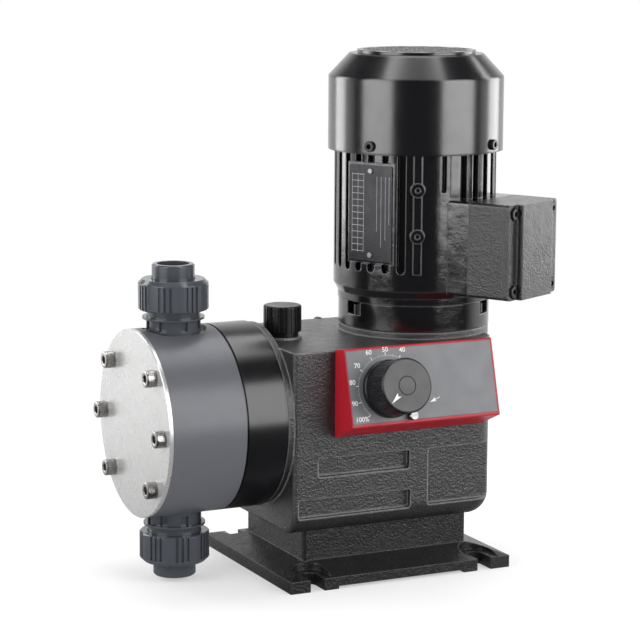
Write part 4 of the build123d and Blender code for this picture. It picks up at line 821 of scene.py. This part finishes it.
@dataclass
class Nameplate:
    """The empty table printed on the motor's plate."""

    motor_x: float = 50.8
    angle: float = -152.0
    offset: float = 62.0
    middle_height: float = 282.2
    ink: float = 0.04
    rows: int = 13
    column: tuple[float, float] = (-17.2, -6.4)
    reach: float = 30.0
    row_line: float = 0.45
    rule_line: float = 0.35
    rule_places: tuple[float, ...] = (-17.2, -11.8, -6.4, 6.0, 10.0, 14.0, 17.5)
    rule_starts: tuple[float, ...] = (-31.0, -31.0, -31.0, -14.0, -26.0, -20.0, -8.0)
    rule_ends: tuple[float, ...] = (31.0, 31.0, 31.0, 29.0, 29.0, 29.0, 29.0)

    def place(self) -> Place:
        """The plate's own plane."""
        lean = np.radians(self.angle)
        out = (float(np.cos(lean)), float(np.sin(lean)), 0.0)
        side = (float(-np.sin(lean)), float(np.cos(lean)), 0.0)
        middle = (self.motor_x + self.offset * out[0], self.offset * out[1], self.middle_height)
        return Place(middle, side, (0.0, 0.0, 1.0), out)

    def build(self, finishes: dict[str, bpy.types.Material]) -> None:
        """Make the rules of the table: a column of even rows, and long rules beside it.

        Args:
            finishes: The materials by slot name.
        """
        place = self.place()
        left, right = self.column
        heights = np.linspace(-self.reach, self.reach, self.rows)
        shell = Shell("plate_table")
        row_starts = np.stack((np.full(self.rows, left), heights), axis=1)
        row_ends = np.stack((np.full(self.rows, right), heights), axis=1)
        shell.add_bars(place, row_starts, row_ends, self.row_line, 0.0, self.ink)
        rule_starts = np.stack((self.rule_places, self.rule_starts), axis=1)
        rule_ends = np.stack((self.rule_places, self.rule_ends), axis=1)
        shell.add_bars(place, rule_starts, rule_ends, self.rule_line, 0.0, self.ink)
        shell.build("pump", "dark_plate", finishes["grey_ink"])


# ---------------------------------------------------------------- camera and studio
@dataclass(frozen=True)
class Lamp:
    """One soft box: its angle from the camera, its size and the brightness of its face.

    A standing box has its foot on the floor. A hung one has a rise in degrees instead.
    """

    name: str
    angle: float
    width: float
    tall: float
    brightness: float
    rise: float = 0.0


@dataclass
class Studio:
    """The camera, the lamps, the pale room and the floor.

    The camera looks at the pump from its front left. Lamp angles are measured about the vertical from
    the direction of the camera, positive to the right.
    """

    camera_turn: float = 26.03
    camera_pitch: float = 9.67
    camera_roll: float = 0.33
    camera_place: tuple[float, float, float] = (-849.57, -1672.55, 512.57)
    sensor_width: float = 36.0
    lens: float = 134.46
    sight: float = 60.0
    middle: tuple[float, float, float] = (0.0, 0.0, 190.0)
    lamp_distance: float = 1.9
    lamp_foot: float = 0.02
    room_light: float = 0.36
    dark_shine: float = 0.04
    backdrop_edge: tuple[float, float] = (0.60, 0.95)
    floor_half: float = 12.0
    floor_tones: tuple[float, float] = (0.93, 0.91)
    floor_near_white: float = 0.45
    floor_fade: tuple[float, float] = (0.25, 0.95)
    floor_shine_fade: tuple[float, float] = (-0.15, 0.35)
    lamps: tuple[Lamp, ...] = (
        Lamp("left_box", -53.0, 1.50, 1.9, 3.6),
        Lamp("right_box", 56.0, 1.60, 1.9, 4.0),
        Lamp("right_strip", 120.0, 0.90, 1.8, 4.2),
        Lamp("left_strip", -119.0, 0.74, 1.8, 4.0),
        Lamp("top_box", 180.0, 1.5, 1.5, 3.4, rise=74.0),
    )

    @property
    def ahead(self) -> tuple[float, float, float]:
        """The direction the camera faces, on the level."""
        turn = np.radians(self.camera_turn)
        return float(np.sin(turn)), float(np.cos(turn)), 0.0

    def make_camera(self) -> None:
        """Place the camera: turned about Z, pitched down, then rolled about its own axis."""
        turn, pitch, roll = np.radians((self.camera_turn, self.camera_pitch, self.camera_roll))
        ahead = Vector((np.sin(turn) * np.cos(pitch), np.cos(turn) * np.cos(pitch), -np.sin(pitch)))
        right = Vector((np.cos(turn), -np.sin(turn), 0.0))
        above = right.cross(ahead)
        right_rolled = np.cos(roll) * right + np.sin(roll) * above
        above_rolled = np.cos(roll) * above - np.sin(roll) * right
        pose = Matrix((right_rolled, above_rolled, -ahead)).transposed().to_4x4()
        pose.translation = Vector(self.camera_place) * MM
        data = bpy.data.cameras.new("camera")
        data.sensor_width = self.sensor_width
        data.sensor_fit = "HORIZONTAL"
        data.lens = self.lens
        data.clip_end = self.sight
        camera = bpy.data.objects.new("camera", data)
        camera.matrix_world = pose
        bpy.context.scene.collection.objects.link(camera)
        bpy.context.scene.camera = camera

    def make_lamps(self) -> None:
        """Stand each soft box round the pump, facing its middle; power = brightness x pi x area."""
        middle = Vector(self.middle) * MM
        for lamp in self.lamps:
            turn = np.radians(180.0 + self.camera_turn - lamp.angle)
            rise = np.radians(lamp.rise)
            out = Vector((np.sin(turn) * np.cos(rise), np.cos(turn) * np.cos(rise), np.sin(rise)))
            data = bpy.data.lights.new(lamp.name, "AREA")
            data.shape = "RECTANGLE"
            data.size = lamp.width
            data.size_y = lamp.tall
            data.energy = lamp.brightness * float(np.pi) * lamp.width * lamp.tall
            box = bpy.data.objects.new(lamp.name, data)
            box.matrix_world = out.to_track_quat("Z", "Y").to_matrix().to_4x4()
            box.location = middle + out * self.lamp_distance
            if lamp.rise == 0.0:
                box.location.z = lamp.tall / 2 + self.lamp_foot
            box.visible_camera = False
            bpy.context.scene.collection.objects.link(box)

    def make_room(self) -> None:
        """Light the room evenly, and show white to the camera and to reflections ahead of it."""
        world = bpy.data.worlds.new("room")
        bpy.context.scene.world = world
        graph = Graph(world)
        path = graph.node("ShaderNodeLightPath").outputs
        facing = graph.node("ShaderNodeVectorMath", {0: graph.coordinates["Generated"], 1: self.ahead},
                            operation="DOT_PRODUCT").outputs["Value"]
        start, end = self.backdrop_edge
        edge = {"Value": facing, "From Min": start, "From Max": end, "To Min": self.dark_shine, "To Max": 1.0}
        backdrop = graph.node("ShaderNodeMapRange", edge, interpolation_type="SMOOTHSTEP").outputs["Result"]
        shine = graph.math("MAXIMUM", path["Is Glossy Ray"], path["Is Transmission Ray"])
        level = graph.node("ShaderNodeMix", {0: shine, 2: self.room_light, 3: backdrop}).outputs[0]
        seen = graph.node("ShaderNodeMix", {0: path["Is Camera Ray"], 2: level, 3: 1.0}).outputs[0]
        light = graph.node("ShaderNodeBackground", {"Color": (1.0, 1.0, 1.0, 1.0), "Strength": seen})
        graph.finish(light, "ShaderNodeOutputWorld")

    def make_floor(self) -> None:
        """Lay a wide pale floor that keeps the pump's shadow and turns into plain white further out."""
        graph = Graph(bpy.data.materials.new("pale_floor"))
        pale, dark = self.floor_tones
        tone = graph.mix(graph.spread(graph.noise(0.4, 2.0), 0.0, 1.0), (pale,) * 3, (dark,) * 3)
        matt = {"Base Color": tone, "Roughness": 0.7, "Specular IOR Level": 0.1}
        shader = graph.node("ShaderNodeBsdfPrincipled", matt)
        path = graph.node("ShaderNodeLightPath").outputs
        shine = graph.math("MAXIMUM", path["Is Glossy Ray"], path["Is Transmission Ray"])
        reach = graph.node("ShaderNodeVectorMath", {0: graph.place}, operation="LENGTH").outputs["Value"]
        far = graph.spread(reach, self.floor_near_white, 1.0, *self.floor_fade)
        depth = graph.node("ShaderNodeVectorMath", {0: graph.place, 1: self.ahead}, operation="DOT_PRODUCT")
        behind = graph.spread(depth.outputs["Value"], self.dark_shine, 1.0, *self.floor_shine_fade)
        level = graph.math("ADD", path["Is Camera Ray"], graph.math("MULTIPLY", shine, behind))
        glow = graph.node("ShaderNodeEmission", {"Color": (1.0, 1.0, 1.0, 1.0), "Strength": level})
        share = graph.math("MAXIMUM", shine, graph.math("MULTIPLY", path["Is Camera Ray"], far))
        both = graph.node("ShaderNodeMixShader", {0: share, 1: shader.outputs[0], 2: glow.outputs[0]})
        half = self.floor_half
        corners = [(-half, -half, 0), (half, -half, 0), (half, half, 0), (-half, half, 0)]
        data = bpy.data.meshes.new("floor")
        data.from_pydata(corners, [], [(0, 1, 2, 3)])
        data.materials.append(graph.finish(both))
        floor = bpy.data.objects.new("floor", data)
        bpy.context.scene.collection.objects.link(floor)

    def build(self) -> None:
        """Make everything that is round the pump."""
        self.make_camera()
        self.make_lamps()
        self.make_room()
        self.make_floor()
        bpy.context.scene.view_settings.view_transform = "Standard"


# ---------------------------------------------------------------- the frame's own nodes
def dress_nodes() -> dict[str, bpy.types.Material]:
    """Give every CAD node the finish of its slot.

    Returns:
        The materials by slot name.
    """
    materials = {slot: finish.build() for slot, finish in FINISHES.items()}
    slots = {part["node"]: part["material_slot"] for part in frame["record"]["subparts"]}
    for name, piece in frame["nodes"].items():
        finish = materials["black_box" if name in BOX_NODES else slots[name]]
        data = piece.data
        if not data.materials:
            data.materials.append(None)
        for place in range(len(data.materials)):
            data.materials[place] = finish
    LOG.info("dressed %d nodes", len(frame["nodes"]))
    return materials


def main() -> None:
    """Build the studio and the pump, sub-assembly by sub-assembly."""
    logging.basicConfig(level=logging.INFO, format="%(name)s: %(message)s")
    Studio().build()
    finishes = dress_nodes()
    for assembly in (LiquidEnd(), StrokeDial(), Nameplate()):
        assembly.build(finishes)


if __name__ == "__main__":
    main()
